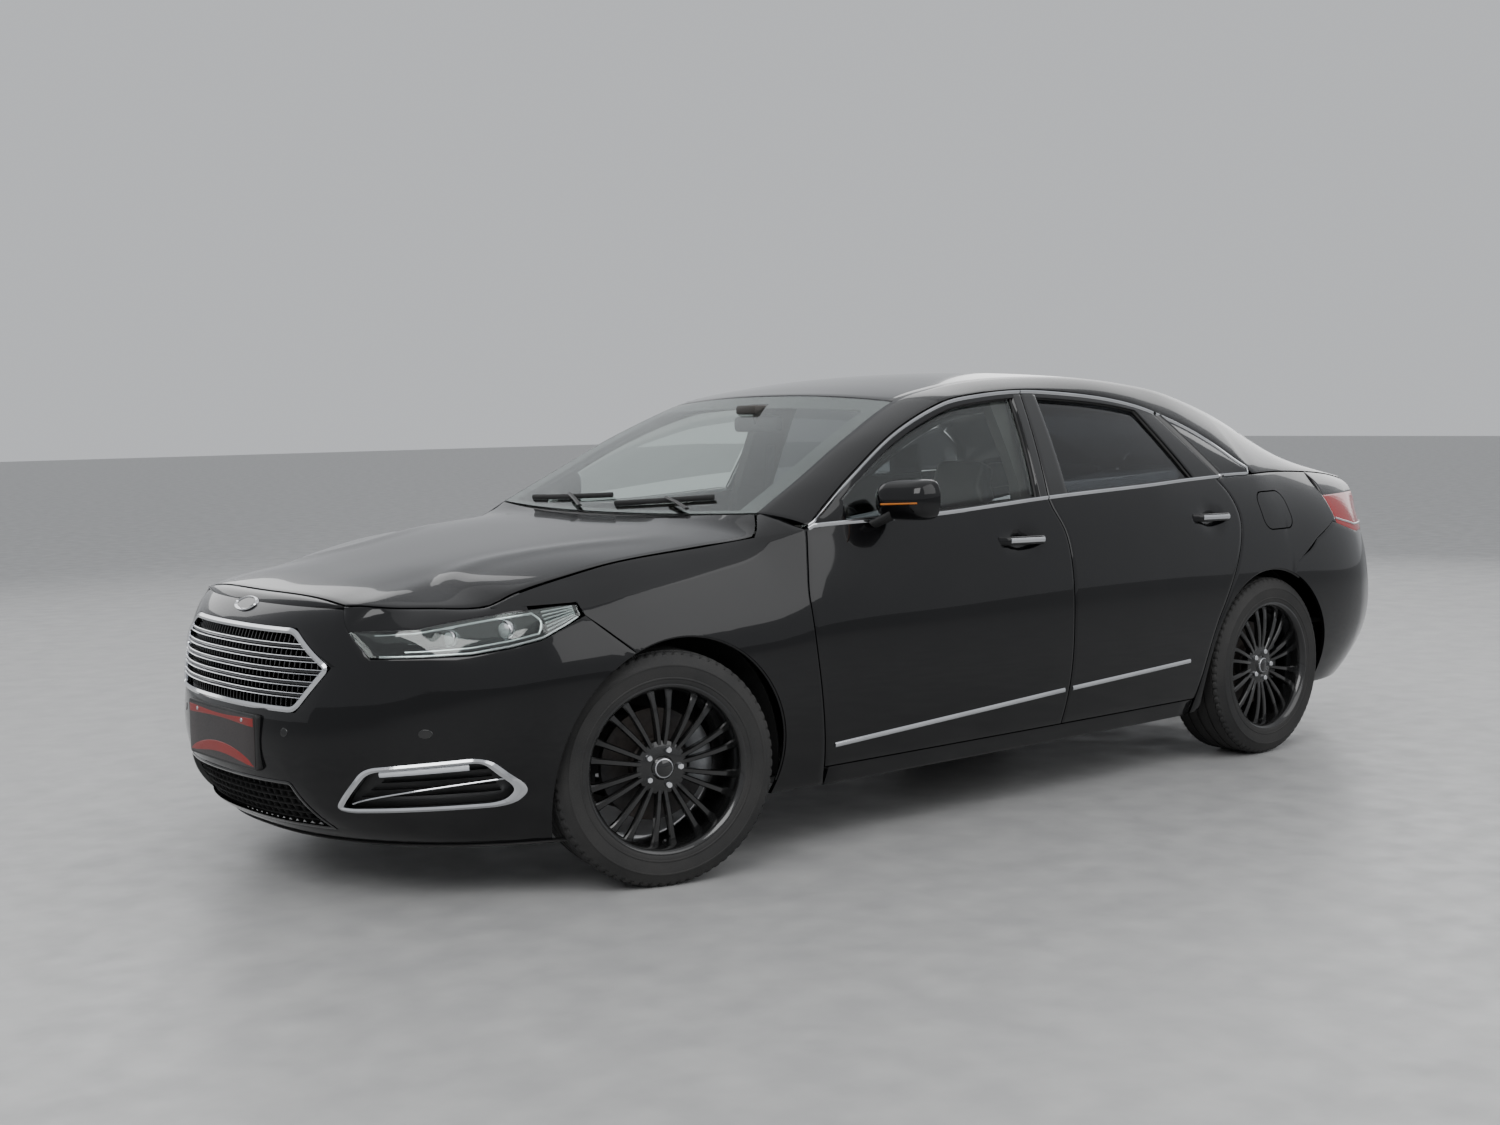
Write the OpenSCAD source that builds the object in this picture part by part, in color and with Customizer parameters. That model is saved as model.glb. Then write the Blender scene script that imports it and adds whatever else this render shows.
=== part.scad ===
// A large four-door saloon car: body panels on a hollow cabin, four opening doors,
// bonnet, boot lid and fuel flap, steered front wheels and turning wheels.
// +X points to the front, +Y to the car's left and +Z up. The ground is z = 0.

/* [Body] */
// Distance between the front and rear axles
wheelbase = 2916; // [2600:1:3500]
// Front bumper to front axle
front_overhang = 988; // [820:1:1200]
// Rear bumper to rear axle
rear_overhang = 1092; // [900:1:1320]
// Width over the doors, without the mirrors
body_width = 1878; // [1560:1:2260]
// Ground to roof
body_height = 1503; // [1250:1:1810]

/* [Panels] */
// Clearance round each opening panel
shut_gap = 5; // [4:0.5:8]
// Clearance between panels that are bolted together
fit_gap = 0.5; // [0.3:0.1:0.8]
// Clearance of a seal or stop that a closed panel rests on
seat_gap = 0.3; // [0.2:0.05:0.5]
// Thickness of a door below the windows
door_thickness = 66; // [54:1:80]
// Thickness of a door's window frame
frame_thickness = 40; // [32:1:48]
// Thickness of the wings, quarter panels and bumper covers
skin_thickness = 14; // [8:1:20]
// Thickness of the bonnet and the boot lid
lid_thickness = 22; // [15:1:30]
// Thickness of the window glass
glass_thickness = 5; // [4:0.5:7]
// Width of the frame round each door window
window_frame = 26; // [20:1:34]

/* [Wheels] */
// Tyre outer radius
tyre_radius = 345; // [290:1:414]
// Tyre section width
tyre_width = 245; // [205:1:294]
// Radius where the tyre meets the rim
rim_radius = 250; // [215:1:280]
// Body side to the middle of the tyre
wheel_inset = 139; // [130:1:180]
// Gap between tyre tread and wheel arch lip
arch_clearance = 53; // [45:1:70]
// Number of double spokes on a wheel
spoke_pairs = 10; // [7:1:12]
// Angle that the front wheels stand turned to the right
steer_rest = 15; // [0:1:20]
// Steering axis to the middle of the tyre
scrub = 55; // [50:1:66]
// Radius of the wheel spindles
spindle_radius = 30; // [24:1:36]

/* [Cabin] */
// Width of a front seat
seat_width = 500; // [440:1:600]
// Thickness of the seat backs
seat_back = 130; // [100:1:160]
// Radius of the steering wheel rim
steering_radius = 185; // [155:1:215]
// Thickness of the floor
floor_thickness = 20; // [15:1:25]

/* [Hidden] */
$fn = 48;
body_length = wheelbase + front_overhang + rear_overhang;
front_axle_x = body_length / 2 - front_overhang;
rear_axle_x = front_axle_x - wheelbase;
wheel_y = body_width / 2 - wheel_inset;
kingpin_y = wheel_y - scrub;
axle_z = tyre_radius;
arch_radius = tyre_radius + arch_clearance;
arch_z = axle_z - 15;
front_arch_x = front_axle_x - 12;
liner_radius = arch_radius + 10;
liner_wall = 3;
front_liner_y = kingpin_y - 290;
rear_liner_y = wheel_y - tyre_width / 2 - 78;
liner_floor_z = axle_z - 85;
bore_clearance = 0.5;

// The body's lines are drawn at these sizes and stretched to the driving ones.
line_front_axle = 1510;
line_rear_axle = -1406;
line_overhangs = [988, 1092];
line_width = 1878;
line_height = 1503;

// Side view tables: x, z and half width y of each line, from the tail to the nose.
// The shoulder: deck edge, belt under the windows and bonnet edge.
SHOULDER = [[-2500, 1010, 560], [-2350, 1038, 620], [-2150, 1066, 668], [-1900, 1084, 712],
    [-1650, 1092, 752], [-1441, 1090, 790], [-1000, 1080, 828], [-746, 1070, 845],
    [-168, 1050, 858], [380, 1020, 857], [943, 1009, 845], [1128, 988, 797],
    [1322, 970, 785], [1610, 944, 765], [1792, 908, 742], [1928, 872, 714],
    [2010, 838, 690], [2200, 800, 650], [2400, 770, 600]];
// The chrome line over the side windows.
RAIL = [[-1466, 1098, 784], [-1400, 1150, 742], [-1324, 1214, 694], [-1200, 1278, 662],
    [-1023, 1340, 643], [-900, 1373, 633], [-731, 1400, 629], [-500, 1420, 632],
    [-256, 1429, 641], [0, 1414, 660], [185, 1387, 681], [459, 1293, 730],
    [712, 1160, 788], [880, 1057, 828], [945, 1013, 846]];
// The roof's side edge: rear window, roof and windscreen.
EDGE = [[-2390, 1036, 596], [-2161, 1090, 556], [-1950, 1155, 545], [-1726, 1246, 541],
    [-1500, 1330, 545], [-1200, 1412, 549], [-1000, 1443, 551], [-700, 1470, 555],
    [-400, 1476, 560], [-100, 1464, 566], [150, 1432, 577], [321, 1394, 591],
    [600, 1275, 647], [850, 1149, 692], [1041, 1053, 718]];
// The widest half width along the car.
WAIST = [[-2500, 915], [-1406, 930], [-400, 939], [400, 937], [1543, 926], [2500, 905]];
waist_z = 600;
// The lower edge of the body and how far it tucks in.
SILL = [[-2500, 330], [-1800, 235], [-1000, 200], [1000, 197], [1900, 205], [2500, 230]];
sill_tuck = 78;
// Reach of the nose and the tail on the centre line at each height.
NOSE = [[150, 2310], [200, 2400], [280, 2462], [380, 2490], [450, 2498], [540, 2490],
    [620, 2480], [720, 2462], [800, 2425], [850, 2375], [900, 2300]];
TAIL = [[200, 2330], [300, 2420], [420, 2480], [520, 2498], [600, 2496], [700, 2478],
    [800, 2460], [900, 2445], [1000, 2425], [1060, 2380]];
// Plan curves of the nose and the tail: where they start and how square they are.
nose_start = 1450;
nose_power = 2.4;
tail_start = 1600;
tail_power = 3.6;

// Door shut lines: z and x of each, between the pieces on its two sides.
LINE_A = [[200, 905], [245, 918], [500, 968], [792, 1003], [900, 985], [1009, 950], [1020, 946]];
LINE_B = [[200, -188], [271, -192], [600, -207], [834, -211], [940, -202], [1040, -165],
    [1200, -196], [1429, -256]];
LINE_C = [[200, -968], [293, -974], [400, -990], [479, -1014], [560, -1052], [625, -1096], [775, -1186],
    [921, -1246], [1010, -1236], [1075, -1195], [1200, -1108], [1340, -1012]];
door_bottom = 264;

// Bonnet outline on the left: x, z and y of its side edge.
BONNET_SIDE = [[1045, 1048, 716], [1090, 1006, 768], [1128, 987, 794], [1322, 970, 783],
    [1610, 943, 763], [1792, 908, 740], [1928, 873, 712], [2010, 838, 680],
    [2150, 840, 606], [2250, 843, 530], [2313, 846, 443]];
BONNET_TOP = [[1045, 1046], [1165, 1030], [1400, 1006], [1700, 968], [2000, 926], [2200, 898], [2360, 866]];
bonnet_bow = 118;
bonnet_front_bow = 36;
bonnet_square = 3.2;
// Headlamp: x with its lower and upper edge.
LAMP = [[1797, 805, 835], [1850, 780, 833], [1919, 749, 827], [2004, 730, 817], [2099, 716, 805],
    [2200, 713, 790], [2290, 714, 777]];
// Seam between wing and front bumper, and between quarter panel and rear bumper.
FRONT_SEAM = [[200, 1634], [681, 1642], [805, 1783], [830, 1787]];
REAR_SEAM = [[-2330, 834], [-2110, 834], [-2000, 860], [-1915, 884], [-1750, 826], [-1601, 747], [-1556, 684]];
// Front bumper opening for the grille, and for the lower intake: z and half width.
GRILLE = [[552, 366], [681, 470], [782, 323]];
INTAKE = [[215, 405], [350, 330]];
grille_bars = 5;
lid_half_width = 608;

// ---- Curves ----

function lerp(a, b, t) = a + (b - a) * t;
function steps(n) = [for (i = [0:n]) i / n];
function slope(k, i, c) =
    let (a = max(i - 1, 0), b = min(i + 1, len(k) - 1))
    (k[b][c] - k[a][c]) / (k[b][0] - k[a][0]);
function span(k, x, i = 0) = i >= len(k) - 2 || x < k[i + 1][0] ? i : span(k, x, i + 1);
// Smooth curve through the rows of table k: column c at x.
function curve(k, x, c = 1) =
    let (q = min(max(x, k[0][0]), k[len(k) - 1][0]), i = span(k, q))
    let (h = k[i + 1][0] - k[i][0], t = (q - k[i][0]) / h)
    k[i][c] * (1 + 2 * t) * pow(1 - t, 2) + h * slope(k, i, c) * t * pow(1 - t, 2)
    + k[i + 1][c] * t * t * (3 - 2 * t) + h * slope(k, i + 1, c) * t * t * (t - 1);
// Straight lines between the rows of table k.
function broken(k, x, c = 1) =
    let (q = min(max(x, k[0][0]), k[len(k) - 1][0]), i = span(k, q))
    lerp(k[i][c], k[i + 1][c], (q - k[i][0]) / (k[i + 1][0] - k[i][0]));

// Stretches a point of the drawn lines to the driving sizes.
function place_x(x) =
    x > line_front_axle ? front_axle_x + (x - line_front_axle) * front_overhang / line_overhangs[0]
    : x < line_rear_axle ? rear_axle_x + (x - line_rear_axle) * rear_overhang / line_overhangs[1]
    : rear_axle_x + (x - line_rear_axle) * wheelbase / (line_front_axle - line_rear_axle);
function place_y(y) = y * body_width / line_width;
function place_z(z) = z * body_height / line_height;
function place(p) = [place_x(p[0]), place_y(p[1]), place_z(p[2])];

// ---- Body surfaces ----

function nose_reach(z) = curve(NOSE, z);
function tail_reach(z) = curve(TAIL, z);
// Half width of the side before the nose and tail curve in.
function flank(x, z) =
    let (w = curve(WAIST, x), up = curve(SHOULDER, x, 1))
    let (ends = round_in(x, nose_start, nose_reach(up), nose_power) * round_in(-x, tail_start, tail_reach(up), tail_power))
    let (y = min(w, curve(SHOULDER, x, 2) / max(ends, 0.3)))
    let (h = max(0, (z - waist_z) / (up - waist_z)), b = max(0, (waist_z - z) / (waist_z - curve(SILL, x))))
    w - (w - y) * pow(min(h, 1), 2.6) - sill_tuck * pow(min(b, 1.3), 2.4);
function round_in(x, start, reach, power) =
    pow(1 - pow(min(max((x - start) / (reach - start), 0), 1), power), 1 / power);
// Half width of the body side under the shoulder.
function side_y(x, z) = flank(x, z)
    * round_in(x, nose_start, nose_reach(z), nose_power)
    * round_in(-x, tail_start, tail_reach(z), tail_power);
// Half width of the glasshouse, from the shoulder up to the chrome line.
function glass_y(x, z) =
    let (z0 = curve(SHOULDER, x, 1), z1 = max(curve(RAIL, x, 1), z0 + 30), t = min(1, max(0, (z - z0) / (z1 - z0))))
    lerp(curve(SHOULDER, x, 2), curve(RAIL, x, 2), t) + 8 * 4 * t * (1 - t);
// A point of the nose or the tail at plan angle a, 0 at the side and 90 on the centre line.
function nose_point(a, z, t = 0) =
    let (x = nose_start + (nose_reach(z) - nose_start - t) * pow(sin(a), 2 / nose_power))
    [x, (flank(x, z) - t) * pow(max(0, cos(a)), 2 / nose_power), z];
function tail_point(a, z, t = 0) =
    let (x = -tail_start - (tail_reach(z) - tail_start - t) * pow(sin(a), 2 / tail_power))
    [x, (flank(x, z) - t) * pow(max(0, cos(a)), 2 / tail_power), z];
function nose_angle_x(x, z) = asin(pow((x - nose_start) / (nose_reach(z) - nose_start), nose_power / 2));
function tail_angle_x(x, z) = asin(pow((-x - tail_start) / (tail_reach(z) - tail_start), tail_power / 2));
function nose_angle_y(y, z) = acos(pow(y / flank(2400, z), nose_power / 2));
function tail_angle_y(y, z) = acos(pow(y / flank(-2400, z), tail_power / 2));

// ---- Shells ----

function quad(a, b, c, d) = [[a, b, c], [a, c, d]];
function total(v) = v * [for (i = v) 1];
// A closed solid between an outer and an inner grid of points, rows by columns.
// gaps lists [row0, row1, column0, column1] blocks of cells that are left open.
module shell(outer, inner, gaps = []) {
    rows = len(outer) - 1;
    cols = len(outer[0]) - 1;
    n = (rows + 1) * (cols + 1);
    function id(j, i) = j * (cols + 1) + i;
    function filled(j, i) = j >= 0 && i >= 0 && j < rows && i < cols
        && len([for (g = gaps) if (j >= g[0] && j < g[1] && i >= g[2] && i < g[3]) g]) == 0;
    points = [each [for (row = outer) each row], each [for (row = inner) each row]];
    faces = [for (j = [0:rows - 1], i = [0:cols - 1]) if (filled(j, i)) each [
        each quad(id(j, i), id(j + 1, i), id(j + 1, i + 1), id(j, i + 1)),
        each quad(n + id(j, i), n + id(j, i + 1), n + id(j + 1, i + 1), n + id(j + 1, i)),
        each filled(j - 1, i) ? [] : quad(id(j, i), id(j, i + 1), n + id(j, i + 1), n + id(j, i)),
        each filled(j + 1, i) ? [] :
            quad(id(j + 1, i + 1), id(j + 1, i), n + id(j + 1, i), n + id(j + 1, i + 1)),
        each filled(j, i - 1) ? [] : quad(id(j + 1, i), id(j, i), n + id(j, i), n + id(j + 1, i)),
        each filled(j, i + 1) ? [] :
            quad(id(j, i + 1), id(j + 1, i + 1), n + id(j + 1, i + 1), n + id(j, i + 1))]];
    volume = total([for (f = faces) points[f[0]] * cross(points[f[1]], points[f[2]])]);
    polyhedron(points, volume < 0 ? faces : [for (f = faces) [f[0], f[2], f[1]]], convexity = 6);
}
module both_sides() {
    children();
    mirror([0, 1, 0]) children();
}
// The left piece, or its mirror image on the right.
module on_side(left) {
    if (left) children();
    else mirror([0, 1, 0]) children();
}
function side_point(x, z, t) = place([x, side_y(x, z), z]) - [0, t, 0];
function upper_point(x, z, t) = place([x, glass_y(x, z), z]) - [0, t, 0];

// ---- Doors ----

// Grid of one door: columns from its rear to its front shut line, rows up to its top.
// pull moves the outline in at the rear, the top and the front, for the inner face.
belt_rows = 6;
function door_edge(line, z, gap) = curve(line, z) + gap;
function door_grid(front, rear, columns, low_t, top_t, pull) =
    let (g = shut_gap / 2)
    [for (r = steps(belt_rows)) [for (u = columns)
        let (zs = function (x) lerp(door_bottom, curve(SHOULDER, x) - 6, r))
        let (x0 = lerp(door_edge(rear, zs(-200), g + pull[0]), door_edge(front, zs(-200), -g - pull[2]), u))
        let (z = zs(x0))
        let (x = lerp(door_edge(rear, z, g + pull[0]), door_edge(front, z, -g - pull[2]), u))
        side_point(x, z, low_t)],
    for (r = [0:2]) [for (u = columns)
        let (x0 = lerp(line_foot(rear) + g + pull[0] * 1.5, line_foot(front) - g - pull[2], u))
        let (x1 = lerp(line_end(rear) + g + pull[0] * 1.5, line_end(front) - g - pull[2], u))
        let (high = curve(RAIL, x1) - shut_gap / 2 - pull[1], low = min(curve(SHOULDER, x0) + 6, high - 5))
        let (top = max(low + 2, min(high - 2, high - window_frame * frame_slope(x1))))
        let (z = [low, top, high][r])
        upper_point(lerp(x0, x1, (z - low) / (high - low)), z, top_t)]];
// Where a shut line crosses the belt, and where it ends at the chrome line.
function line_foot(line) = curve(line, 1050);
function line_end(line) = line[len(line) - 1][1];
// A point of a shut line over the belt, where it runs straight.
function line_upper(line, z) = let (low = curve(SHOULDER, line_foot(line)) + 6)
    lerp(line_foot(line), line_end(line), (z - low) / (line[len(line) - 1][0] - low));
// A sloping frame is deeper in height than it is wide.
function frame_slope(x) = sqrt(1 + pow((curve(RAIL, x + 30) - curve(RAIL, x - 30)) / 60, 2));
FRONT_COLUMNS = [0, 0.035, 0.12, 0.24, 0.36, 0.48, 0.6, 0.7, 0.79, 0.86, 0.93, 1];
REAR_COLUMNS = [0, 0.08, 0.16, 0.28, 0.42, 0.56, 0.7, 0.83, 0.9, 1];
front_glass_cells = [7, 8, 1, 9];
rear_glass_cells = [7, 8, 2, 8];
module door(front, rear, columns, cells) {
    shell(door_grid(front, rear, columns, 0, 0, [0, 0, 0]),
        door_grid(front, rear, columns, door_thickness, frame_thickness, [10, 7, 2]), [cells]);
}
module door_glass(front, rear, columns, cells) {
    outer = door_grid(front, rear, columns, 0, 0, [0, 0, 0]);
    inner = door_grid(front, rear, columns, door_thickness, frame_thickness, [10, 7, 2]);
    depth = (frame_thickness - glass_thickness) / 2;
    function cell(j, i, d) = lerp(outer[j][i], inner[j][i], d / frame_thickness)
        + [i == cells[2] ? seat_gap * 3 : i == cells[3] ? -seat_gap * 3 : 0, 0,
           j == cells[0] ? seat_gap * 2 : -seat_gap * 2];
    shell([for (j = [cells[0]:cells[1]]) [for (i = [cells[2]:cells[3]]) cell(j, i, depth)]],
        [for (j = [cells[0]:cells[1]]) [for (i = [cells[2]:cells[3]]) cell(j, i, depth + glass_thickness)]]);
}
module front_door(left) color("black") on_side(left) door(LINE_A, LINE_B, FRONT_COLUMNS, front_glass_cells);
module rear_door(left) color("black") on_side(left) door(LINE_B, LINE_C, REAR_COLUMNS, rear_glass_cells);
module front_door_glass(left) color("darkslategray")
    on_side(left) door_glass(LINE_A, LINE_B, FRONT_COLUMNS, front_glass_cells);
module rear_door_glass(left) color("dimgray")
    on_side(left) door_glass(LINE_B, LINE_C, REAR_COLUMNS, rear_glass_cells);

// ---- Fixed body ----

// Lower edge of the side frame: over the doors, then along the deck.
frame_turn = -1466;
function frame_low(x) = x > frame_turn
    ? [x, curve(RAIL, x, 2), curve(RAIL, x, 1)]
    : [x, curve(SHOULDER, x, 2), curve(SHOULDER, x, 1)];
function roof_edge(x) = [x, curve(EDGE, x, 2), curve(EDGE, x, 1)];
// Places along the lower edge and the places above them on the roof's edge.
FRAME_KEYS = [[-2345, -2350], [-2150, -2161], [-1900, -1950], [-1650, -1726], [-1466, -1500], [-1400, -1430],
    [-1324, -1350], [-1200, -1200], [-1023, -1000], [-900, -860], [-731, -700], [-500, -400], [-256, -100],
    [0, 150], [185, 321], [322, 460], [459, 600], [590, 725], [712, 850], [880, 990], [945, 1041]];
FRAME_EDGE = [for (k = FRAME_KEYS) concat([k[0]], roof_edge(k[1]))];
FRAME_X = concat([for (i = [0:5]) FRAME_KEYS[i][0]], [-1324, -1200, -1100],
    [for (u = REAR_COLUMNS) if (u < 1) lerp(line_end(LINE_C), line_end(LINE_B), u)],
    [for (u = FRONT_COLUMNS) lerp(line_end(LINE_B), line_end(LINE_A), u)]);
pillar_depth = 88;
rail_depth = 40;
module side_frames() color("black") both_sides() {
    low = [for (x = FRAME_X) place(frame_low(x)) + [0, 0, shut_gap / 2]];
    top = [for (x = FRAME_X) place([for (c = [1:3]) broken(FRAME_EDGE, x, c)])];
    last = len(FRAME_X) - 1;
    depth = [for (x = FRAME_X) x > -520 && x < 190 ? pillar_depth : rail_depth];
    deep = [for (x = FRAME_X) x < -1466 ? 2 : 18];
    shell([low, [for (i = [0:last]) lerp(low[i], top[i], 0.5) + [0, 5, 5]], top],
        [[for (i = [0:last]) low[i] - [0, depth[i], 0]],
         [for (i = [0:last]) lerp(low[i], top[i], 0.5) - [0, depth[i] / 2 + 8, 22]],
         [for (i = [0:last]) top[i] - [0, deep[i], 40]]]);
}
// A surface across the car between its left and right edge, crowned and bowed in the middle.
function across(edge, middle, square, n) = [for (v = steps(n)) let (w = 2 * v - 1, f = 1 - pow(abs(w), square))
    [edge[0] + (middle[0] - edge[0]) * f, edge[1] * w, edge[2] + (middle[2] - edge[2]) * f]];
across_cells = 10;
function drop(grid, t, edge_t) = [for (row = grid) [for (i = [0:len(row) - 1])
    row[i] - (i == 0 ? [0, -0.45 * edge_t, edge_t] : i == len(row) - 1 ? [0, 0.45 * edge_t, edge_t] : [0, 0, t])]];
SCREEN_X = [327, 460, 600, 725, 850, 990, 1041];
SCREEN_MIDDLE = [[351, 1419], [494, 1353], [643, 1284], [777, 1217], [915, 1147], [1068, 1068], [1125, 1040]];
REAR_SCREEN_X = [-2161, -1950, -1726, -1500, -1350, -1206];
REAR_SCREEN_MIDDLE = [[-2115, 1118], [-1925, 1183], [-1715, 1275], [-1500, 1361], [-1350, 1406], [-1216, 1438]];
ROOF_X = [-1200, -1000, -860, -700, -400, -100, 150, 321];
ROOF_MIDDLE = [[-1210, 1440], [-1010, 1469], [-860, 1485], [-700, 1496], [-400, 1502], [-100, 1489],
    [160, 1457], [345, 1422]];
// Rows across the roof or a screen, a fit gap clear of the frames on its sides.
function cross_rows(xs, middles, square) = [for (i = [0:len(xs) - 1])
    [for (p = across(roof_edge(xs[i]) - [0, 1.6 * fit_gap, 0], [middles[i][0], 0, middles[i][1]], square, across_cells))
        place(p)]];
module roof_panel() color("black") {
    grid = cross_rows(ROOF_X, ROOF_MIDDLE, 2.2);
    shell(grid, drop(grid, 24, 40));
}
module screen(xs, middles) {
    grid = cross_rows(xs, middles, 2.2);
    shell(grid, drop(grid, glass_thickness, glass_thickness));
}
// Rear quarter window between rear door, chrome line and belt.
QUARTER_GLASS_X = [-1440, -1380, -1324, -1200, -1110, -1030];
module quarter_glass() {
    n = len(QUARTER_GLASS_X) - 1;
    function point(i, top, t) =
        let (x0 = QUARTER_GLASS_X[i], low = curve(SHOULDER, x0) + shut_gap / 2)
        let (high = max(curve(RAIL, x0) - 3, low + 3), z = top ? high : low)
        upper_point(min(x0, line_upper(LINE_C, z) - shut_gap), z, t);
    shell([for (top = [false, true]) [for (i = [0:n]) point(i, top, 2)]],
        [for (top = [false, true]) [for (i = [0:n]) point(i, top, 2 + glass_thickness)]]);
}
module fixed_glass() color("darkslategray") {
    screen(SCREEN_X, SCREEN_MIDDLE);
    screen(REAR_SCREEN_X, REAR_SCREEN_MIDDLE);
    both_sides() quarter_glass();
}

module axle_cylinder(x, z, y0, y1, r) translate([x, y0, z]) rotate([-90, 0, 0]) cylinder(r = r, h = y1 - y0, $fn = 96);
module arch_cut(x) axle_cylinder(x, arch_z, 400, body_width, arch_radius);

// Heights of the edge points that a wing or quarter panel shares with the door beside it.
function door_edge_z(r, x) = r == 0 ? 204 : lerp(door_bottom, curve(SHOULDER, x) - 6, (r * panel_rows - 1) / belt_rows);
panel_rows = belt_rows + 1;
// Front wing: from the door to the bumper, round the wheel arch.
WING_X = [994, 1090, 1200, 1320, 1440, 1548, 1642, 1700, 1783, 1791, 1860, 1930, 2002];
// Gap along the slanted seam between wing and bumper.
seam_gap = 2.3;
// How much higher the wing's inner face ends there, as the bumper's own wall leans back.
seam_lean = 6;
function wing_low(x) = x < 1560 ? 204 : broken([[1560, 560], [1642, 681], [1783, 805], [1791, 842], [2010, 833]], x);
function wing_grid(t, pull) = [for (r = steps(panel_rows)) [for (x1 = WING_X)
    let (first = x1 == WING_X[0])
    let (z = first ? door_edge_z(r, 975)
        : lerp(wing_low(x1) + seam_gap + (t > 0 && x1 > 1560 && x1 < 1790 ? seam_lean : 0),
            max(curve(SHOULDER, x1) - shut_gap, wing_low(x1) + 3), r))
    let (top = max(curve(SHOULDER, x1) - shut_gap, wing_low(x1) + 3))
    side_point(first ? curve(LINE_A, z) + shut_gap / 2 + pull : x1, z, min(t, 3 + 0.6 * max(0, top - z)))]];
// The wing's top behind the bonnet, up to the foot of the windscreen pillar.
CORNER_BACK = [[957, 846, 1001], [997, 780.2, 1034], [1036, 728.2, 1050]];
CORNER_FRONT = [[1122, 799, 984], [1087, 771, 1007], [1046, 724, 1047]];
module wing_corner() {
    outer = [for (row = [CORNER_BACK, CORNER_FRONT]) [for (p = row) place(p)]];
    shell(outer, [for (row = outer) [for (p = row) p - [0, 4, 12]]]);
}
module front_wings() color("black") both_sides() {
    difference() {
        shell(wing_grid(0, 0), wing_grid(skin_thickness, 2));
        arch_cut(front_arch_x);
    }
    wing_corner();
}

// Quarter panel: from the rear door to the rear bumper and the tail lamp.
QUARTER_X = [-1150, -1240, -1320, -1400, -1470, -1556, -1601, -1680, -1750, -1830, -1915, -1946];
function quarter_low(x) = x > -1556 ? broken([[-1556, 600], [-1240, 215], [-900, 205]], x) : broken(REAR_SEAM, x);
function quarter_grid(t) = [for (r = steps(panel_rows)) [for (x1 = QUARTER_X)
    let (first = x1 == QUARTER_X[0])
    let (z = first ? door_edge_z(r, -1230) : lerp(quarter_low(x1) + fit_gap, curve(SHOULDER, x1) - 3, r))
    side_point(x1 + (curve(LINE_C, z) - shut_gap / 2 - QUARTER_X[0]) * max(0, 1 - (QUARTER_X[0] - x1) / 350), z, t)]];
flap_x = -1505;
flap_z = 948;
flap_size = [200, 140];
flap_corner = 45;
flap_stop_gap = 5.3;
// Outline of the fuel flap, wider by gap all round.
module flap_outline(gap) {
    square([flap_size[0] - 2 * flap_corner, flap_size[1] + 2 * gap], center = true);
    square([flap_size[0] + 2 * gap, flap_size[1] - 2 * flap_corner], center = true);
    for (x = [-1, 1], y = [-1, 1])
        translate([x * (flap_size[0] / 2 - flap_corner), y * (flap_size[1] / 2 - flap_corner)])
            circle(r = flap_corner + gap);
}
module flap_prism(gap) translate([place_x(flap_x), body_width / 2, place_z(flap_z)])
    rotate([90, 0, 0]) linear_extrude(body_width / 4) flap_outline(gap);
module quarter_shell() shell(quarter_grid(0), quarter_grid(skin_thickness));
module quarter_panels() color("black") {
    difference() {
        quarter_shell();
        arch_cut(rear_axle_x);
        flap_prism(shut_gap);
    }
    // Stop behind the fuel flap.
    stop = side_point(-1601, flap_z, skin_thickness + flap_stop_gap);
    translate([place_x(-1645), stop[1] - 30, stop[2] - 8]) cube([place_x(-1590) - place_x(-1645), 30, 16]);
    mirror([0, 1, 0]) difference() {
        quarter_shell();
        arch_cut(rear_axle_x);
    }
}
module fuel_flap() color("black") intersection() {
    quarter_shell();
    flap_prism(0);
}

// ---- Nose ----

// Columns across the front bumper, from its side seam to the middle and on to the other side.
// Columns under the headlamp, from the wing seam forward.
LAMP_COLUMNS = [1783, 1850, 1919, 2004, 2099, 2200];
nose_side_cells = len(LAMP_COLUMNS);
nose_front_cells = 4;
// Half width of the bumper between the headlamps: z and y.
LAMP_INNER = [[600, 575], [705, 570], [732, 547], [782, 490], [838, 440]];
function mirror_row(row) = concat(row, [for (i = [len(row) - 2:-1:0]) [row[i][0], -row[i][1], row[i][2]]]);
function nose_angles(z) =
    let (a0 = nose_angle_x(broken(FRONT_SEAM, z), z), a1 = nose_angle_y(broken(LAMP_INNER, z), z))
    let (a2 = nose_angle_y(z > 500 ? broken(GRILLE, z) : broken(INTAKE, z), z))
    concat([for (i = [0:nose_side_cells - 1]) lerp(a0, a1, i / nose_side_cells)], [a1],
        [for (i = [0:nose_front_cells]) lerp(a2, 90, i / nose_front_cells)]);
BUMPER_Z = [158, 215, 282, 350, 440, 552, 616, 681, 705];
BUMPER_TOP_Z = [732, 782, 838];
function nose_row(z, t) = mirror_row([for (a = nose_angles(z)) place(nose_point(a, z, t))]);
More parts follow.
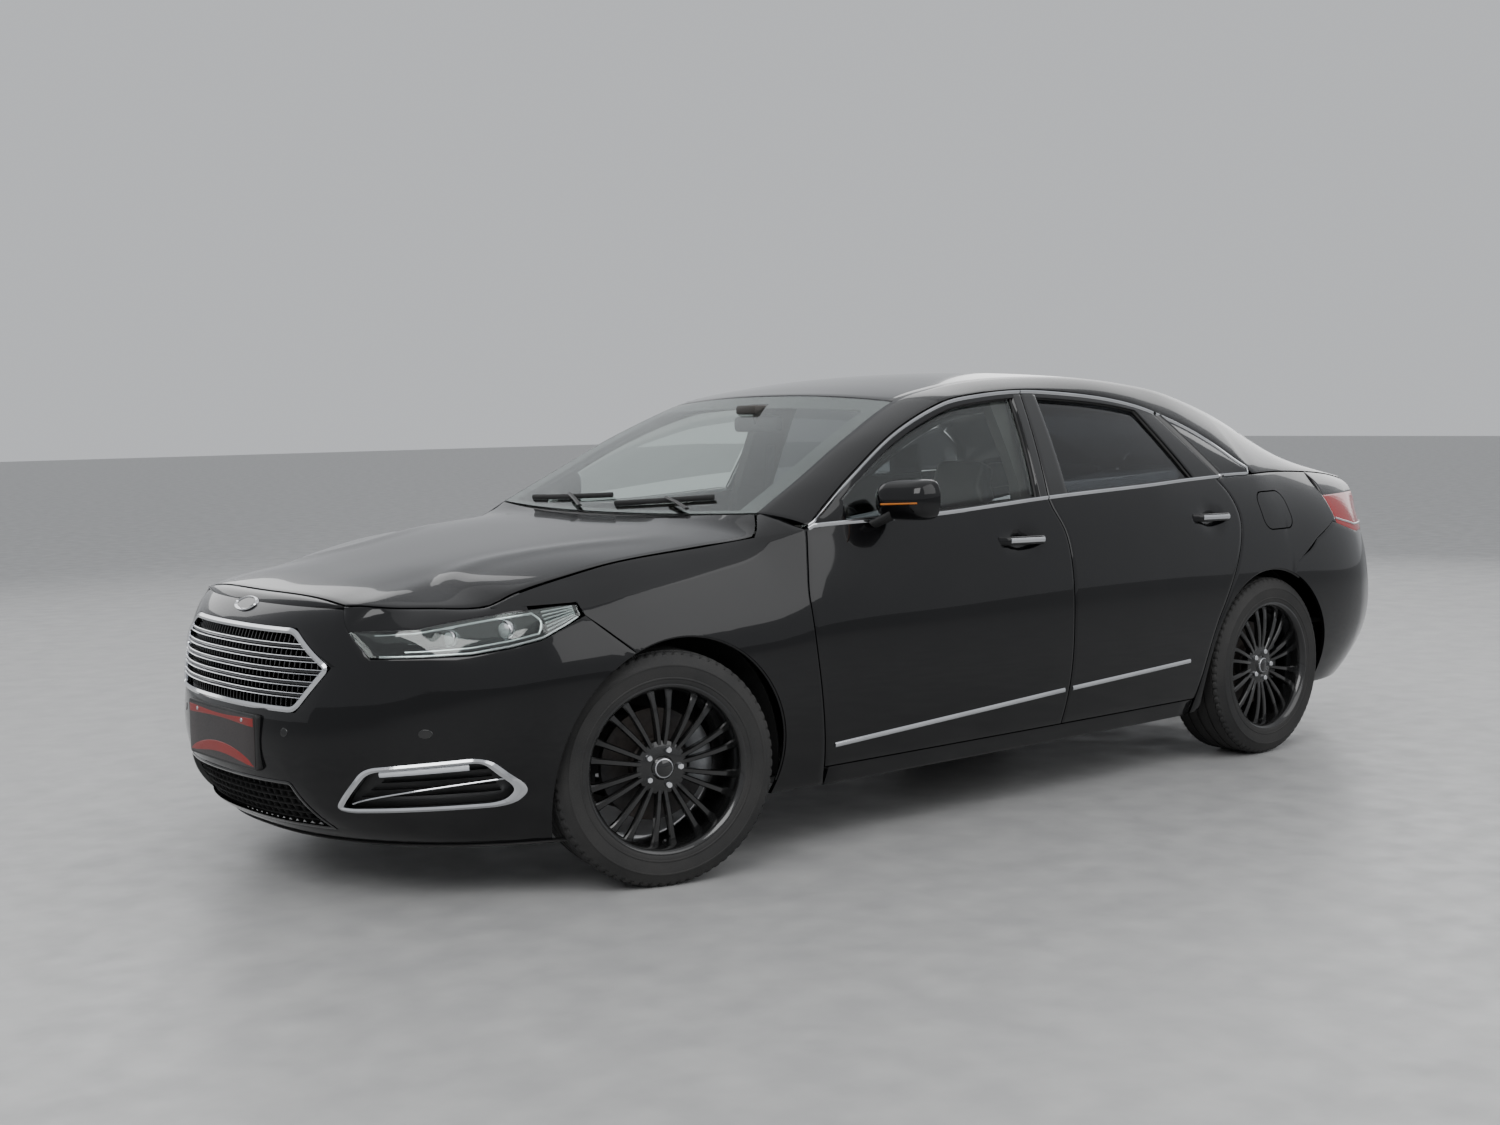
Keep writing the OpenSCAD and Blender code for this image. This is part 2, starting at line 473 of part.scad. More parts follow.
// The row under the headlamps follows their lower edges.
function lamp_row(t) = let (under = nose_angles(707)) mirror_row(concat(
    [for (x = LAMP_COLUMNS) let (z = broken(LAMP, x, 1) - (x == LAMP_COLUMNS[0] ? 0 : 3)) place(nose_point(nose_angle_x(x, z), z, t))],
    [for (i = [nose_side_cells:len(under) - 1]) place(nose_point(under[i], 707, t))]));
module front_bumper() color("black") difference() {
    rows = function (t) concat([for (z = BUMPER_Z) if (z < 705) nose_row(z, t)], [lamp_row(t)],
        [for (z = BUMPER_TOP_Z) nose_row(z, t)]);
    side = nose_side_cells + 1;
    last = 2 * (nose_side_cells + 1 + nose_front_cells);
    shell(rows(0), rows(skin_thickness),
        [[8, 11, 0, side - 1], [8, 11, last - side + 1, last],
         [5, 10, side, last - side], [1, 3, side, last - side]]);
    both_sides() arch_cut(front_arch_x);
}
// Grille: surround, bars and the openings between them.
module grille() {
    inset = fit_gap;
    z0 = GRILLE[0][0] + inset;
    z1 = GRILLE[2][0] - inset;
    surround = 14;
    bar = 13;
    open = (z1 - z0 - 2 * surround - grille_bars * bar) / (grille_bars + 1);
    levels = concat([z0], [for (i = [0:grille_bars]) each
        [z0 + surround + i * (bar + open), z0 + surround + i * (bar + open) + open]], [z1]);
    function row(z, t) = let (a = nose_angle_y(broken(GRILLE, z) - inset, z), b = nose_angle_y(broken(GRILLE, z) - 22, z))
        mirror_row([for (q = [a, b, lerp(b, 90, 0.25), lerp(b, 90, 0.5), lerp(b, 90, 0.75), 90]) place(nose_point(q, z, t))]);
    color("silver") shell([for (z = levels) row(z, 0)], [for (z = levels) row(z, skin_thickness)],
        [for (i = [0:grille_bars]) [2 * i + 1, 2 * i + 2, 1, 9]]);
}
lamp_depth = 60;
lamp_top_depth = 8;
// Lower and upper height of the headlamp at its inner end.
lamp_end = [711, 779];
function lamp_point(i, k, t) =
    let (inner = i == nose_side_cells, x = inner ? 2290 : i == 0 ? LAMP[0][0] : LAMP_COLUMNS[i])
    let (z = inner ? lerp(lamp_end[0], lamp_end[1], k)
        : lerp(broken(LAMP, x, 1) + fit_gap, broken(LAMP, x, 2) - fit_gap, k))
    place(nose_point(inner ? nose_angle_y(broken(LAMP_INNER, z) + 5 * fit_gap, z) : nose_angle_x(x, z), z, t));
module headlamps() color("white") both_sides() shell(
    [for (k = steps(2)) [for (i = [0:nose_side_cells]) lamp_point(i, k, 0)]],
    [for (k = steps(2)) [for (i = [0:nose_side_cells]) lamp_point(i, k, lerp(lamp_depth, lamp_top_depth, k))]]);

// ---- Tail ----

// Columns of the rear bumper along the seam with the quarter panel and the tail lamp.
TAIL_COLUMNS = [-1640, -1750, -1850, -1915, -2000, -2110];
tail_side_cells = len(TAIL_COLUMNS);
tail_front_cells = 4;
function tail_angles(z) = let (a1 = tail_angle_y(lid_half_width + 8, z)) concat(
    [for (x = TAIL_COLUMNS) tail_angle_x(x, z)],
    [for (i = [0:tail_front_cells]) lerp(a1, 90, i / tail_front_cells)]);
TAIL_Z = [232, 300, 420, 520, 600, 676];
tail_shelf = 684;
lid_bottom = 692;
// The bumper's corner in front of the nose curve: x at its rear arch end.
bumper_start = -1556;
function tail_side(z, t) = side_point(bumper_start, z, t);
function tail_row(z, t) = mirror_row(concat([tail_side(z, t)], [for (a = tail_angles(z)) place(tail_point(a, z, t))]));
// Rows above the shelf rise to the seam: k runs from 0 at the shelf to 1 at the seam.
function seam_row(k, t) = mirror_row(concat([tail_side(tail_shelf + 2 * k, t)],
    [for (i = [0:tail_side_cells + tail_front_cells])
        let (x = i < tail_side_cells ? TAIL_COLUMNS[i] : -2300)
        let (z = lerp(tail_shelf, broken(REAR_SEAM, x) - 2, k))
        place(tail_point(tail_angles(z)[i], z, t))]));
module rear_bumper() color("black") {
    side = tail_side_cells + 1;
    last = 2 * (side + tail_front_cells);
    rows = function (t) concat([for (z = TAIL_Z) tail_row(z, t)], [for (k = [0, 0.5, 1]) seam_row(k, t)]);
    difference() {
        shell(rows(0), rows(skin_thickness), [[6, 8, side, last - side]]);
        both_sides() arch_cut(rear_axle_x);
    }
    // Buffers under the boot lid's lower edge.
    for (y = [-1, 1]) translate([place_x(-2462), y * place_y(400) - 10, place_z(672)])
        cube([30, 20, place_z(lid_bottom) - place_z(672) - seat_gap]);
}
tail_lamp_depth = 34;
TAIL_LAMP_COLUMNS = [-1947, -2000, -2110, -2230];
tail_lamp_top = 986;
module tail_lamps() {
    function stop(i, z) = i < 4 ? tail_angle_x(TAIL_LAMP_COLUMNS[i], z)
        : let (end = tail_angle_y(lid_half_width + 8, z)) lerp(tail_angle_x(TAIL_LAMP_COLUMNS[3], z), end, (i - 3) / 2);
    function point(i, k, t) = let (x = i < 4 ? TAIL_LAMP_COLUMNS[i] : -2300)
        let (z = lerp(broken(REAR_SEAM, x) - 2 + fit_gap, tail_lamp_top, k), a = stop(i, z))
        i == 0 ? place(tail_point(a, z)) - [0, t, 0] : place(tail_point(a, z, t));
    color("firebrick") both_sides() shell([for (k = steps(2)) [for (i = [0:5]) point(i, k, 0)]],
        [for (k = steps(2)) [for (i = [0:5]) point(i, k, tail_lamp_depth)]]);
}

// ---- Bonnet and boot lid ----

function bonnet_point(u, w, t) =
    let (x0 = lerp(BONNET_SIDE[0][0], BONNET_SIDE[len(BONNET_SIDE) - 1][0], u), f = 1 - pow(abs(w), bonnet_square))
    let (x = x0 + lerp(bonnet_bow, bonnet_front_bow, u) * (1 - w * w), y = curve(BONNET_SIDE, x0, 2) * w)
    let (z0 = curve(BONNET_SIDE, x0), z1 = curve(BONNET_TOP, x))
    [x, y, z0 + (z1 - z0) * f];
BONNET_U = [for (x = [1045, 1090, 1128, 1225, 1400, 1610, 1792, 1928, 2010, 2150, 2250, 2313]) (x - 1045) / 1268];
BONNET_W = [-1, -0.86, -0.7, -0.5, -0.25, 0, 0.25, 0.5, 0.7, 0.86, 1];
// How far the bonnet's lower face stands in from its edges.
bonnet_tuck = 28;
module bonnet() {
    g = shut_gap / 2;
    function row(u, t, tuck) = [for (w = BONNET_W) let (p = bonnet_point(u, w))
        place(p) + [u == 1 ? -g - tuck : u == 0 ? g + tuck : 0, abs(w) == 1 ? -sign(w) * (g + tuck) : 0, -t]];
    color("black") shell([for (u = BONNET_U) row(u, 0, 0)], [for (u = BONNET_U) row(u, lid_thickness, bonnet_tuck)]);
}
// Boot lid: centre line x, z; side edge x, y, z, from the rear window down to the bumper.
LID_MIDDLE = [[-2122, 1113], [-2220, 1094], [-2330, 1066], [-2412, 1046], [-2436, 1012], [-2446, 940],
    [-2456, 860], [-2470, 770], [-2474, 692]];
LID_SIDE = [[-2168, 548, 1086], [-2230, 562, 1074], [-2310, 580, 1056], [-2368, 592, 1038], [-2384, 598, 1008],
    [-2392, 602, 940], [-2398, 604, 860], [-2404, 606, 770], [-2406, 608, 692]];
module boot_lid() {
    function row(i, t) = [for (p = across(LID_SIDE[i] - [0, shut_gap, 0],
        [LID_MIDDLE[i][0], 0, LID_MIDDLE[i][1]], 2.2, across_cells)) place(p) + lid_inset(i, t)];
    color("black") shell([for (i = [0:8]) row(i, 0)], [for (i = [0:8]) row(i, lid_thickness)]);
}
// The inner face lies below the deck and ahead of the rear face.
function lid_inset(i, t) = i < 3 ? [0, 0, -t] : i == 3 ? [t * 0.7, 0, -t] : i == 4 ? [t, 0, -t * 0.5] : [t, 0, 0];

// ---- Structure under the panels ----

floor_z = 196;
firewall_x = 1040;
module block(x, y, z) translate([place_x(x[0]), place_y(y[0]), place_z(z[0])])
    cube([place_x(x[1]) - place_x(x[0]), place_y(y[1]) - place_y(y[0]), place_z(z[1]) - place_z(z[0])]);
module wide_block(x, y, z) block(x, [-y, y], z);
module cowl() {
    rows = [for (i = [0, 1]) [for (p = across([1041, 700, 1052], [1125, 0, 1038], 2.2, across_cells))
        place(p + [-1 + 32 * i, 0, -6 - 54 * i])]];
    shell(rows, [for (i = [0, 1]) [for (p = rows[i]) [place_x(i == 0 ? firewall_x : 1090), p[1], place_z(930)]]]);
}
module underbody() color("dimgray") {
    wide_block([-1030, 1062], 712, [floor_z, floor_z + floor_thickness]);
    wide_block([firewall_x, 1062], 700, [floor_z, 962]);
    wide_block([-1050, -1030], 585, [floor_z, 420]);
    wide_block([-2380, -1030], 585, [400, 420]);
    wide_block([-1430, -1410], 585, [400, 1040]);
    wide_block([-2040, -1410], 530, [1040, 1054]);
    for (y = [-1, 1]) {
        block([1040, 2330], y > 0 ? [385, 435] : [-435, -385], [400, 480]);
        translate([front_axle_x - 60, y * place_y(400) - (y > 0 ? 15 : 0), subframe_top + seat_gap])
            cube([120, 15, place_z(402) - subframe_top]);
    }
    wide_block([2330, 2360], 460, [400, 480]);
    cowl();
}
module rocker_panels() color("black") both_sides() {
    xs = [-962, -500, 0, 500, 900];
    zs = [198, 228, door_bottom - shut_gap];
    shell([for (z = zs) [for (x = xs) side_point(x, z, 3)]],
        [for (z = zs) [for (x = xs) [place_x(x), place_y(712) + fit_gap, place_z(z)]]]);
}
PILLAR_X = [-290, -200, -110];
pillar_seal = 0.9;
module centre_pillars() {
    function lower(r, t) = [for (x = PILLAR_X)
        side_point(x, r == 0 ? door_bottom - shut_gap + 0.4 : lerp(door_bottom, curve(SHOULDER, x) - 6, r),
            door_thickness + pillar_seal + t)];
    function upper(r, t) = [for (x = PILLAR_X)
        let (z = lerp(curve(SHOULDER, x) + 18, curve(RAIL, x) - 8, r))
        upper_point(x, z, frame_thickness + pillar_seal + lerp(26, 2, r) + t)];
    function rows(t) = concat([for (r = steps(belt_rows)) lower(r, t)], [for (r = steps(3)) upper(r, t)]);
    color("dimgray") both_sides() shell(rows(0), rows(45));
}
module wheel_housing(x, y, y_out) difference() {
    axle_cylinder(x, arch_z, y, y_out, liner_radius + liner_wall);
    axle_cylinder(x, arch_z, y + liner_wall, y_out + 1, liner_radius);
    translate([x - 600, y - 1, -400]) cube([1200, 600, liner_floor_z + 400]);
}
front_liner_end = 858;
rear_liner_end = 806;
// The front housing's outer edge follows the bumper's corner at this angle.
liner_bevel = 19;
module wheel_housings() color("black") both_sides() {
    difference() {
        wheel_housing(front_arch_x, front_liner_y, place_y(front_liner_end));
        translate([front_arch_x + 140, place_y(front_liner_end), 0]) rotate([0, 0, -liner_bevel])
            cube([600, 300, body_height]);
    }
    wheel_housing(rear_axle_x, rear_liner_y, place_y(rear_liner_end));
    // Brackets to the rails and the boot floor.
    translate([front_axle_x - 30, place_y(435), place_z(420)]) cube([60, front_liner_y + 1 - place_y(435), 50]);
    translate([rear_axle_x - 30, place_y(585) + seat_gap, place_z(402)])
        cube([60, rear_liner_y + 1 - place_y(585) - seat_gap, 16]);
}

// ---- Running gear ----

kingpin_radius = 9;
post_radius = 24;
post_low = axle_z - 130;
post_high = axle_z + 130;
arm_thickness = 24;
strut_radius = 25;
strut_inset = 145;
subframe = [220, 400, 60];
subframe_top = post_low - arm_thickness - seat_gap + 30;
module front_suspension() color("gray") {
    low = post_low - arm_thickness - seat_gap;
    translate([front_axle_x - subframe[0] / 2, -place_y(subframe[1]), low - 30])
        cube([subframe[0], 2 * place_y(subframe[1]), subframe[2]]);
    both_sides() {
        translate([front_axle_x - 30, place_y(390), low]) cube([60, kingpin_y + 22 - place_y(390), arm_thickness]);
        translate([front_axle_x, kingpin_y, low])
            cylinder(r = kingpin_radius, h = post_high + arm_thickness + seat_gap - low);
        translate([front_axle_x - 25, kingpin_y - strut_inset - 20, post_high + seat_gap])
            cube([50, strut_inset + 40, arm_thickness]);
        translate([front_axle_x, kingpin_y - strut_inset, post_high + seat_gap])
            cylinder(r = strut_radius, h = arch_z + sqrt(pow(liner_radius, 2) - pow(strut_radius + 12, 2))
                - post_high - 2 * seat_gap);
    }
}
knuckle_flange = 52;
module knuckle(left) color("gray") steered(left) difference() {
    union() {
        translate([0, 0, post_low - axle_z]) cylinder(r = post_radius, h = post_high - post_low);
        translate([0, 4, 0]) rotate([-90, 0, 0]) cylinder(r = knuckle_flange, h = 22);
        rotate([-90, 0, 0]) cylinder(r = spindle_radius, h = scrub + 62);
        translate([-118, -2, 20]) cube([100, 30, 90]);
    }
    translate([0, 0, -body_height]) cylinder(r = kingpin_radius + bore_clearance, h = 2 * body_height);
}
// Moves a piece drawn at the kingpin, at axle height, to one front wheel as it is steered.
module steered(left) translate([front_axle_x, left ? kingpin_y : -kingpin_y, axle_z]) rotate([0, 0, -steer_rest])
    on_side(left) children();
module rear_suspension() color("gray") {
    beam = 45;
    translate([rear_axle_x - beam / 2, -(wheel_y - 60), axle_z - 130]) cube([beam, 2 * (wheel_y - 60), 40]);
    both_sides() {
        translate([rear_axle_x - beam / 2, wheel_y - 100, axle_z - 130]) cube([beam, 40, 170]);
        axle_cylinder(rear_axle_x, axle_z, wheel_y - 62, wheel_y - 30, 52);
        axle_cylinder(rear_axle_x, axle_z, wheel_y - 40, wheel_y + 62, spindle_radius);
        translate([rear_axle_x - 20, place_y(480), axle_z - 100])
            cylinder(r = 25, h = place_z(400) - axle_z + 100);
    }
}
bead = 12;
module tyre() color("#181818") rotate([-90, 0, 0]) rotate_extrude($fn = 96) polygon([
    [rim_radius - bead + 0.5, -tyre_width / 2 + 14], [rim_radius + 12, -tyre_width / 2 + 4],
    [rim_radius + 40, -tyre_width / 2], [tyre_radius - 34, -tyre_width / 2 + 3],
    [tyre_radius - 13, -tyre_width / 2 + 16], [tyre_radius - 3, -tyre_width / 2 + 36],
    [tyre_radius, -tyre_width / 4], [tyre_radius, tyre_width / 4],
    [tyre_radius - 3, tyre_width / 2 - 36], [tyre_radius - 13, tyre_width / 2 - 16],
    [tyre_radius - 34, tyre_width / 2 - 3], [rim_radius + 40, tyre_width / 2],
    [rim_radius + 12, tyre_width / 2 - 4], [rim_radius - bead + 0.5, tyre_width / 2 - 14]]);
barrel = 9;
face_inner = 52;
face_outer = 78;
hub_radius = 74;
stud_circle = 54;
stud_radius = 7;
module rim() color("#202020") {
    difference() {
        rotate([-90, 0, 0]) rotate_extrude($fn = 96) polygon([
            [rim_radius - bead, -tyre_width / 2 + 14], [rim_radius - bead, tyre_width / 2 - 14],
            [rim_radius - bead - barrel, tyre_width / 2 - 14], [rim_radius - bead - barrel - 12, face_outer],
            [hub_radius, face_outer], [hub_radius - 20, face_outer - 12], [0, face_outer - 12],
            [0, 42], [hub_radius, 42], [hub_radius, face_inner],
            [rim_radius - bead - barrel - 12, face_inner], [rim_radius - bead - barrel - 12, -tyre_width / 2 + 14]]);
        rotate([-90, 0, 0]) for (i = [0:spoke_pairs - 1]) rotate([0, 0, i * 360 / spoke_pairs]) {
            spoke_gap(180 / spoke_pairs * 1.06, 0);
            spoke_gap(180 / spoke_pairs * 0.52, 180 / spoke_pairs);
        }
        rotate([-90, 0, 0]) {
            translate([0, 0, -200]) cylinder(r = spindle_radius + bore_clearance, h = 200 + 62 + bore_clearance);
            for (i = [0:4]) rotate([0, 0, i * 72 + 36]) translate([stud_circle, 0, 30])
                cylinder(r = stud_radius, h = 100);
        }
    }
}
// One opening between two spokes, width degrees wide at the rim.
module spoke_gap(width, turn) rotate([0, 0, turn]) translate([0, 0, face_inner - 20]) linear_extrude(80) polygon([
    [hub_radius + 12, -2.5], [hub_radius + 12, 2.5],
    [(rim_radius - bead - barrel - 15) * cos(width / 2), (rim_radius - bead - barrel - 15) * sin(width / 2)],
    [(rim_radius - bead - barrel - 15) * cos(width / 2), -(rim_radius - bead - barrel - 15) * sin(width / 2)]]);
module at_wheel(front, left) {
    if (front) steered(left) translate([0, scrub, 0]) children();
    else on_side(left) translate([rear_axle_x, wheel_y, axle_z]) children();
}
module engine_and_radiator() color("gray") {
    block([1180, 2000], [-340, 340], [330, 880]);
    block([1990, 2160], [-370, 370], [280, 760]);
    for (y = [-1, 1]) block([1250, 1350], y > 0 ? [340, 385] : [-385, -340], [420, 470]);
    for (y = [-1, 1]) {
        block([2120, 2160], y > 0 ? [370, 385] : [-385, -370], [420, 470]);
        // Pointed rubber stop under a point of the bonnet.
        stop = place(bonnet_point(BONNET_U[8], 0.5 * y)) - [0, 0, lid_thickness + seat_gap];
        translate([stop[0], stop[1], place_z(750)]) cylinder(r1 = 24, r2 = 1.5, h = stop[2] - place_z(750));
    }
}
module exhaust() color("silver") {
    r = 32;
    translate([place_x(-2080), 0, place_z(320)]) rotate([90, 0, 0]) cylinder(r = 78, h = 640, center = true);
    for (y = [-1, 1]) translate([place_x(-2080), y * 250, place_z(320)]) rotate([0, -90, 0])
        cylinder(r = r, h = place_x(-2080) - place_x(-2350));
    translate([place_x(-2060), 0, place_z(320)]) rotate([0, 90, 0]) cylinder(r = r, h = place_x(-1560) - place_x(-2060));
    for (y = [-1, 1]) translate([place_x(-2080), y * 180, place_z(320)])
        cylinder(r = 8, h = place_z(400) - place_z(320));
}

// ---- Cabin ----

module dashboard() color("#2a2a2a") {
    translate([0, place_y(690), 0]) rotate([90, 0, 0]) linear_extrude(2 * place_y(690)) polygon([for (p = [
        [1039, 560], [1039, 985], [1000, 990], [820, 962], [700, 930], [655, 880], [668, 800], [760, 690], [830, 560]])
        [place_x(p[0]), place_z(p[1])]]);
    block([180, 860], [-110, 110], [floor_z + floor_thickness, 570]);
}
wheel_centre = [560, 375, 880];
module steering_wheel() color("#1c1c1c") translate(place(wheel_centre)) rotate([0, 64, 0]) {
        rotate_extrude($fn = 64) translate([steering_radius, 0]) circle(r = 15);
        cylinder(r = 62, h = 30, center = true);
        for (a = [0, 120, 240]) rotate([0, 0, a]) translate([40, -18, -8]) cube([steering_radius - 40, 36, 16]);
        cylinder(r = 24, h = 128);
    }
seat_top = 470;
seat_x = 80;
bench_x = -1010;
seat_base = place_z(seat_top - floor_z) - floor_thickness - seat_gap;
// Side profile of a seat: its cushion and its back leaning lean degrees, drawn from the hip point.
function seat_profile(length, depth, lean, back) =
    let (u = [-sin(lean), cos(lean)], v = [-cos(lean), -sin(lean)])
    concat([[0, 0], [length - 30, 0], [length, -30], [length, -depth + 25], [length - 25, -depth],
        [5, -depth], [5, -40]],
        [for (q = [[20, 1], [back - 25, 1], [back, 0.75], [back, 0.3], [back - 25, 0]])
            q[0] * u + q[1] * seat_back * v]);
// Slice of a seat between two widths; its profile is in side view.
module seat_slice(width, points) rotate([90, 0, 0]) linear_extrude(width, center = true) polygon(points);
module front_seats() color("#3a3530") for (y = [-1, 1])
    translate([place_x(seat_x), y * place_y(375), place_z(seat_top)]) {
        seat_slice(seat_width, seat_profile(480, 125, 22, 600));
        seat_slice(seat_width / 2, [for (q = [[590, 0.2], [770, 0.2], [770, 0.8], [590, 0.8]])
            q[0] * [-sin(22), cos(22)] + q[1] * seat_back * [-cos(22), -sin(22)]]);
        translate([60, -seat_width / 3, -seat_base]) cube([320, seat_width * 2 / 3, seat_base - 120]);
    }
module rear_seat() color("#3a3530") translate([place_x(bench_x), 0, place_z(seat_top)]) {
    w = 2 * place_y(575);
    seat_slice(w, seat_profile(470, 125, 24, 560));
    translate([10, -w / 2, -seat_base]) cube([420, w, seat_base - 120]);
}
MIRROR_HEAD = [[640, 905, 1058, 48], [640, 905, 1108, 42], [600, 1008, 1062, 44], [610, 1000, 1102, 38]];
MIRROR_FOOT = [[668, 866, 1000, 20], [700, 868, 985, 16], [650, 925, 1030, 16]];
module ball_hull(balls, facets) hull() for (p = balls)
    translate(place([p[0], p[1], p[2]])) sphere(r = p[3], $fn = facets);
// The mirror's foot is trimmed to the door skin.
module mirror_housing(left) color("black") on_side(left) {
    ball_hull(MIRROR_HEAD, 20);
    difference() {
        ball_hull(MIRROR_FOOT, 14);
        shell(door_grid(LINE_A, LINE_B, FRONT_COLUMNS, -seat_gap - 0.1, -seat_gap - 0.1, [0, 0, 0]),
            door_grid(LINE_A, LINE_B, FRONT_COLUMNS, 150, 150, [0, 0, 0]));
    }
}

underbody();
rocker_panels();
centre_pillars();
side_frames();
roof_panel();
quarter_panels();
front_wings();
front_bumper();
grille();
rear_bumper();
headlamps();
tail_lamps();
fixed_glass();
wheel_housings();
front_suspension();
rear_suspension();
engine_and_radiator();
exhaust();
dashboard();
steering_wheel();
front_seats();
rear_seat();
bonnet();
boot_lid();
fuel_flap();
front_door(true);  // front_left_door
front_door(false);  // front_right_door
rear_door(true);  // rear_left_door
rear_door(false);  // rear_right_door
front_door_glass(true);  // front_left_glass
front_door_glass(false);  // front_right_glass
rear_door_glass(true);  // rear_left_glass
rear_door_glass(false);  // rear_right_glass
mirror_housing(true);  // left_mirror
mirror_housing(false);  // right_mirror
knuckle(true);  // left_knuckle
knuckle(false);  // right_knuckle
at_wheel(true, true) tyre();  // front_left_tyre
at_wheel(true, false) tyre();  // front_right_tyre
at_wheel(false, true) tyre();  // rear_left_tyre
at_wheel(false, false) tyre();  // rear_right_tyre
at_wheel(true, true) rim();  // front_left_rim
at_wheel(true, false) rim();  // front_right_rim
at_wheel(false, true) rim();  // rear_left_rim
at_wheel(false, false) rim();  // rear_right_rim
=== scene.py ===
"""Visual model of a black four-door saloon car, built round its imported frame.

The frame gives the bodies and joints. Every visible panel, lamp, wheel and piece of trim is
made here from the car's design lines, and rides on the body that carries it.
"""

import logging
import math
from dataclasses import dataclass
from enum import Enum
from typing import Callable, Sequence

import bmesh
import bpy
from mathutils import Matrix, Vector


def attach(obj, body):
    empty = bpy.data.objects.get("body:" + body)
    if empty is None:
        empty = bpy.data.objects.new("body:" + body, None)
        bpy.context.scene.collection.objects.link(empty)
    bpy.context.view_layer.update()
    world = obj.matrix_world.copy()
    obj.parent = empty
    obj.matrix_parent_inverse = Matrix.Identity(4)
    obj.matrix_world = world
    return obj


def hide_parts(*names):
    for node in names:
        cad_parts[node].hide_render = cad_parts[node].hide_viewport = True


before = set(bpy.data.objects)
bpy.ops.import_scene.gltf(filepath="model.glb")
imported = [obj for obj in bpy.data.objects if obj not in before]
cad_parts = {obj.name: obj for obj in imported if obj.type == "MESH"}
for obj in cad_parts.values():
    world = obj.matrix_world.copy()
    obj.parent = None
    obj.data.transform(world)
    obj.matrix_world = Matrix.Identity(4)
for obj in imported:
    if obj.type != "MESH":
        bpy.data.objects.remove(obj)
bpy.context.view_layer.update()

log = logging.getLogger("saloon")
logging.basicConfig(level=logging.INFO, format="%(message)s")

MM = 0.001
Point = tuple[float, float, float]
Grid = list[list[Point]]
Table = Sequence[Sequence[float]]
Shape = tuple[list[Point], list[list[int]]]
ROOT = "body_shell"


# ---- Design lines, in millimetres ----

# The shoulder: x, z and half width y, from the tail to the nose.
SHOULDER = ((-2500, 1010, 560), (-2350, 1038, 620), (-2150, 1066, 668), (-1900, 1084, 712),
            (-1650, 1092, 752), (-1441, 1090, 790), (-1000, 1080, 828), (-746, 1070, 845),
            (-168, 1050, 858), (380, 1020, 857), (943, 1009, 845), (1128, 988, 797),
            (1322, 970, 785), (1610, 944, 765), (1792, 908, 742), (1928, 872, 714),
            (2010, 838, 690), (2200, 800, 650), (2400, 770, 600))
# The chrome line over the side windows: x, z and half width y.
RAIL = ((-1466, 1098, 784), (-1400, 1150, 742), (-1324, 1214, 694), (-1200, 1278, 662),
        (-1023, 1340, 643), (-900, 1373, 633), (-731, 1400, 629), (-500, 1420, 632),
        (-256, 1429, 641), (0, 1414, 660), (185, 1387, 681), (459, 1293, 730),
        (712, 1160, 788), (880, 1057, 828), (945, 1013, 846))
# The roof's side edge: x, z and half width y.
EDGE = ((-2390, 1036, 596), (-2161, 1090, 556), (-1950, 1155, 545), (-1726, 1246, 541),
        (-1500, 1330, 545), (-1200, 1412, 549), (-1000, 1443, 551), (-700, 1470, 555),
        (-400, 1476, 560), (-100, 1464, 566), (150, 1432, 577), (321, 1394, 591),
        (600, 1275, 647), (850, 1149, 692), (1041, 1053, 718))
WAIST = ((-2500, 915), (-1406, 930), (-400, 939), (400, 937), (1543, 926), (2500, 905))
SILL = ((-2500, 330), (-1800, 235), (-1000, 200), (1000, 197), (1900, 205), (2500, 230))
NOSE = ((150, 2310), (200, 2400), (280, 2462), (380, 2490), (450, 2498), (540, 2490),
        (620, 2480), (720, 2462), (800, 2425), (850, 2375), (900, 2300))
TAIL = ((200, 2330), (300, 2420), (420, 2480), (520, 2498), (600, 2496), (700, 2478),
        (800, 2460), (900, 2445), (1000, 2425), (1060, 2380))
LINE_A = ((200, 905), (245, 918), (500, 968), (792, 1003), (900, 985), (1009, 950), (1020, 946))
LINE_B = ((200, -188), (271, -192), (600, -207), (834, -211), (940, -202), (1040, -165),
          (1200, -196), (1429, -256))
LINE_C = ((200, -968), (293, -974), (400, -990), (479, -1014), (560, -1052), (625, -1096),
          (775, -1186), (921, -1246), (1010, -1236), (1075, -1195), (1200, -1108), (1340, -1012))
BONNET_SIDE = ((1045, 1048, 716), (1090, 1006, 768), (1128, 987, 794), (1322, 970, 783),
               (1610, 943, 763), (1792, 908, 740), (1928, 873, 712), (2010, 838, 680),
               (2150, 840, 606), (2250, 843, 530), (2313, 846, 443))
BONNET_TOP = ((1045, 1046), (1165, 1030), (1400, 1006), (1700, 968), (2000, 926), (2200, 898),
              (2360, 866))
LAMP = ((1797, 805, 835), (1850, 780, 833), (1919, 749, 827), (2004, 730, 817), (2099, 716, 805),
        (2200, 713, 790), (2290, 714, 777))
LAMP_INNER = ((600, 575), (705, 570), (732, 547), (782, 490), (838, 440))
FRONT_SEAM = ((200, 1634), (681, 1642), (805, 1783), (830, 1787))
REAR_SEAM = ((-2330, 834), (-2110, 834), (-2000, 860), (-1915, 884), (-1750, 826), (-1601, 747),
             (-1556, 684))
GRILLE = ((552, 366), (681, 470), (782, 323))
INTAKE = ((215, 405), (350, 330))
WAIST_Z, SILL_TUCK = 600, 78
NOSE_START, NOSE_POWER = 1450, 2.4
TAIL_START, TAIL_POWER = 1600, 3.6
SHUT_GAP, FIT_GAP = 5.0, 0.5
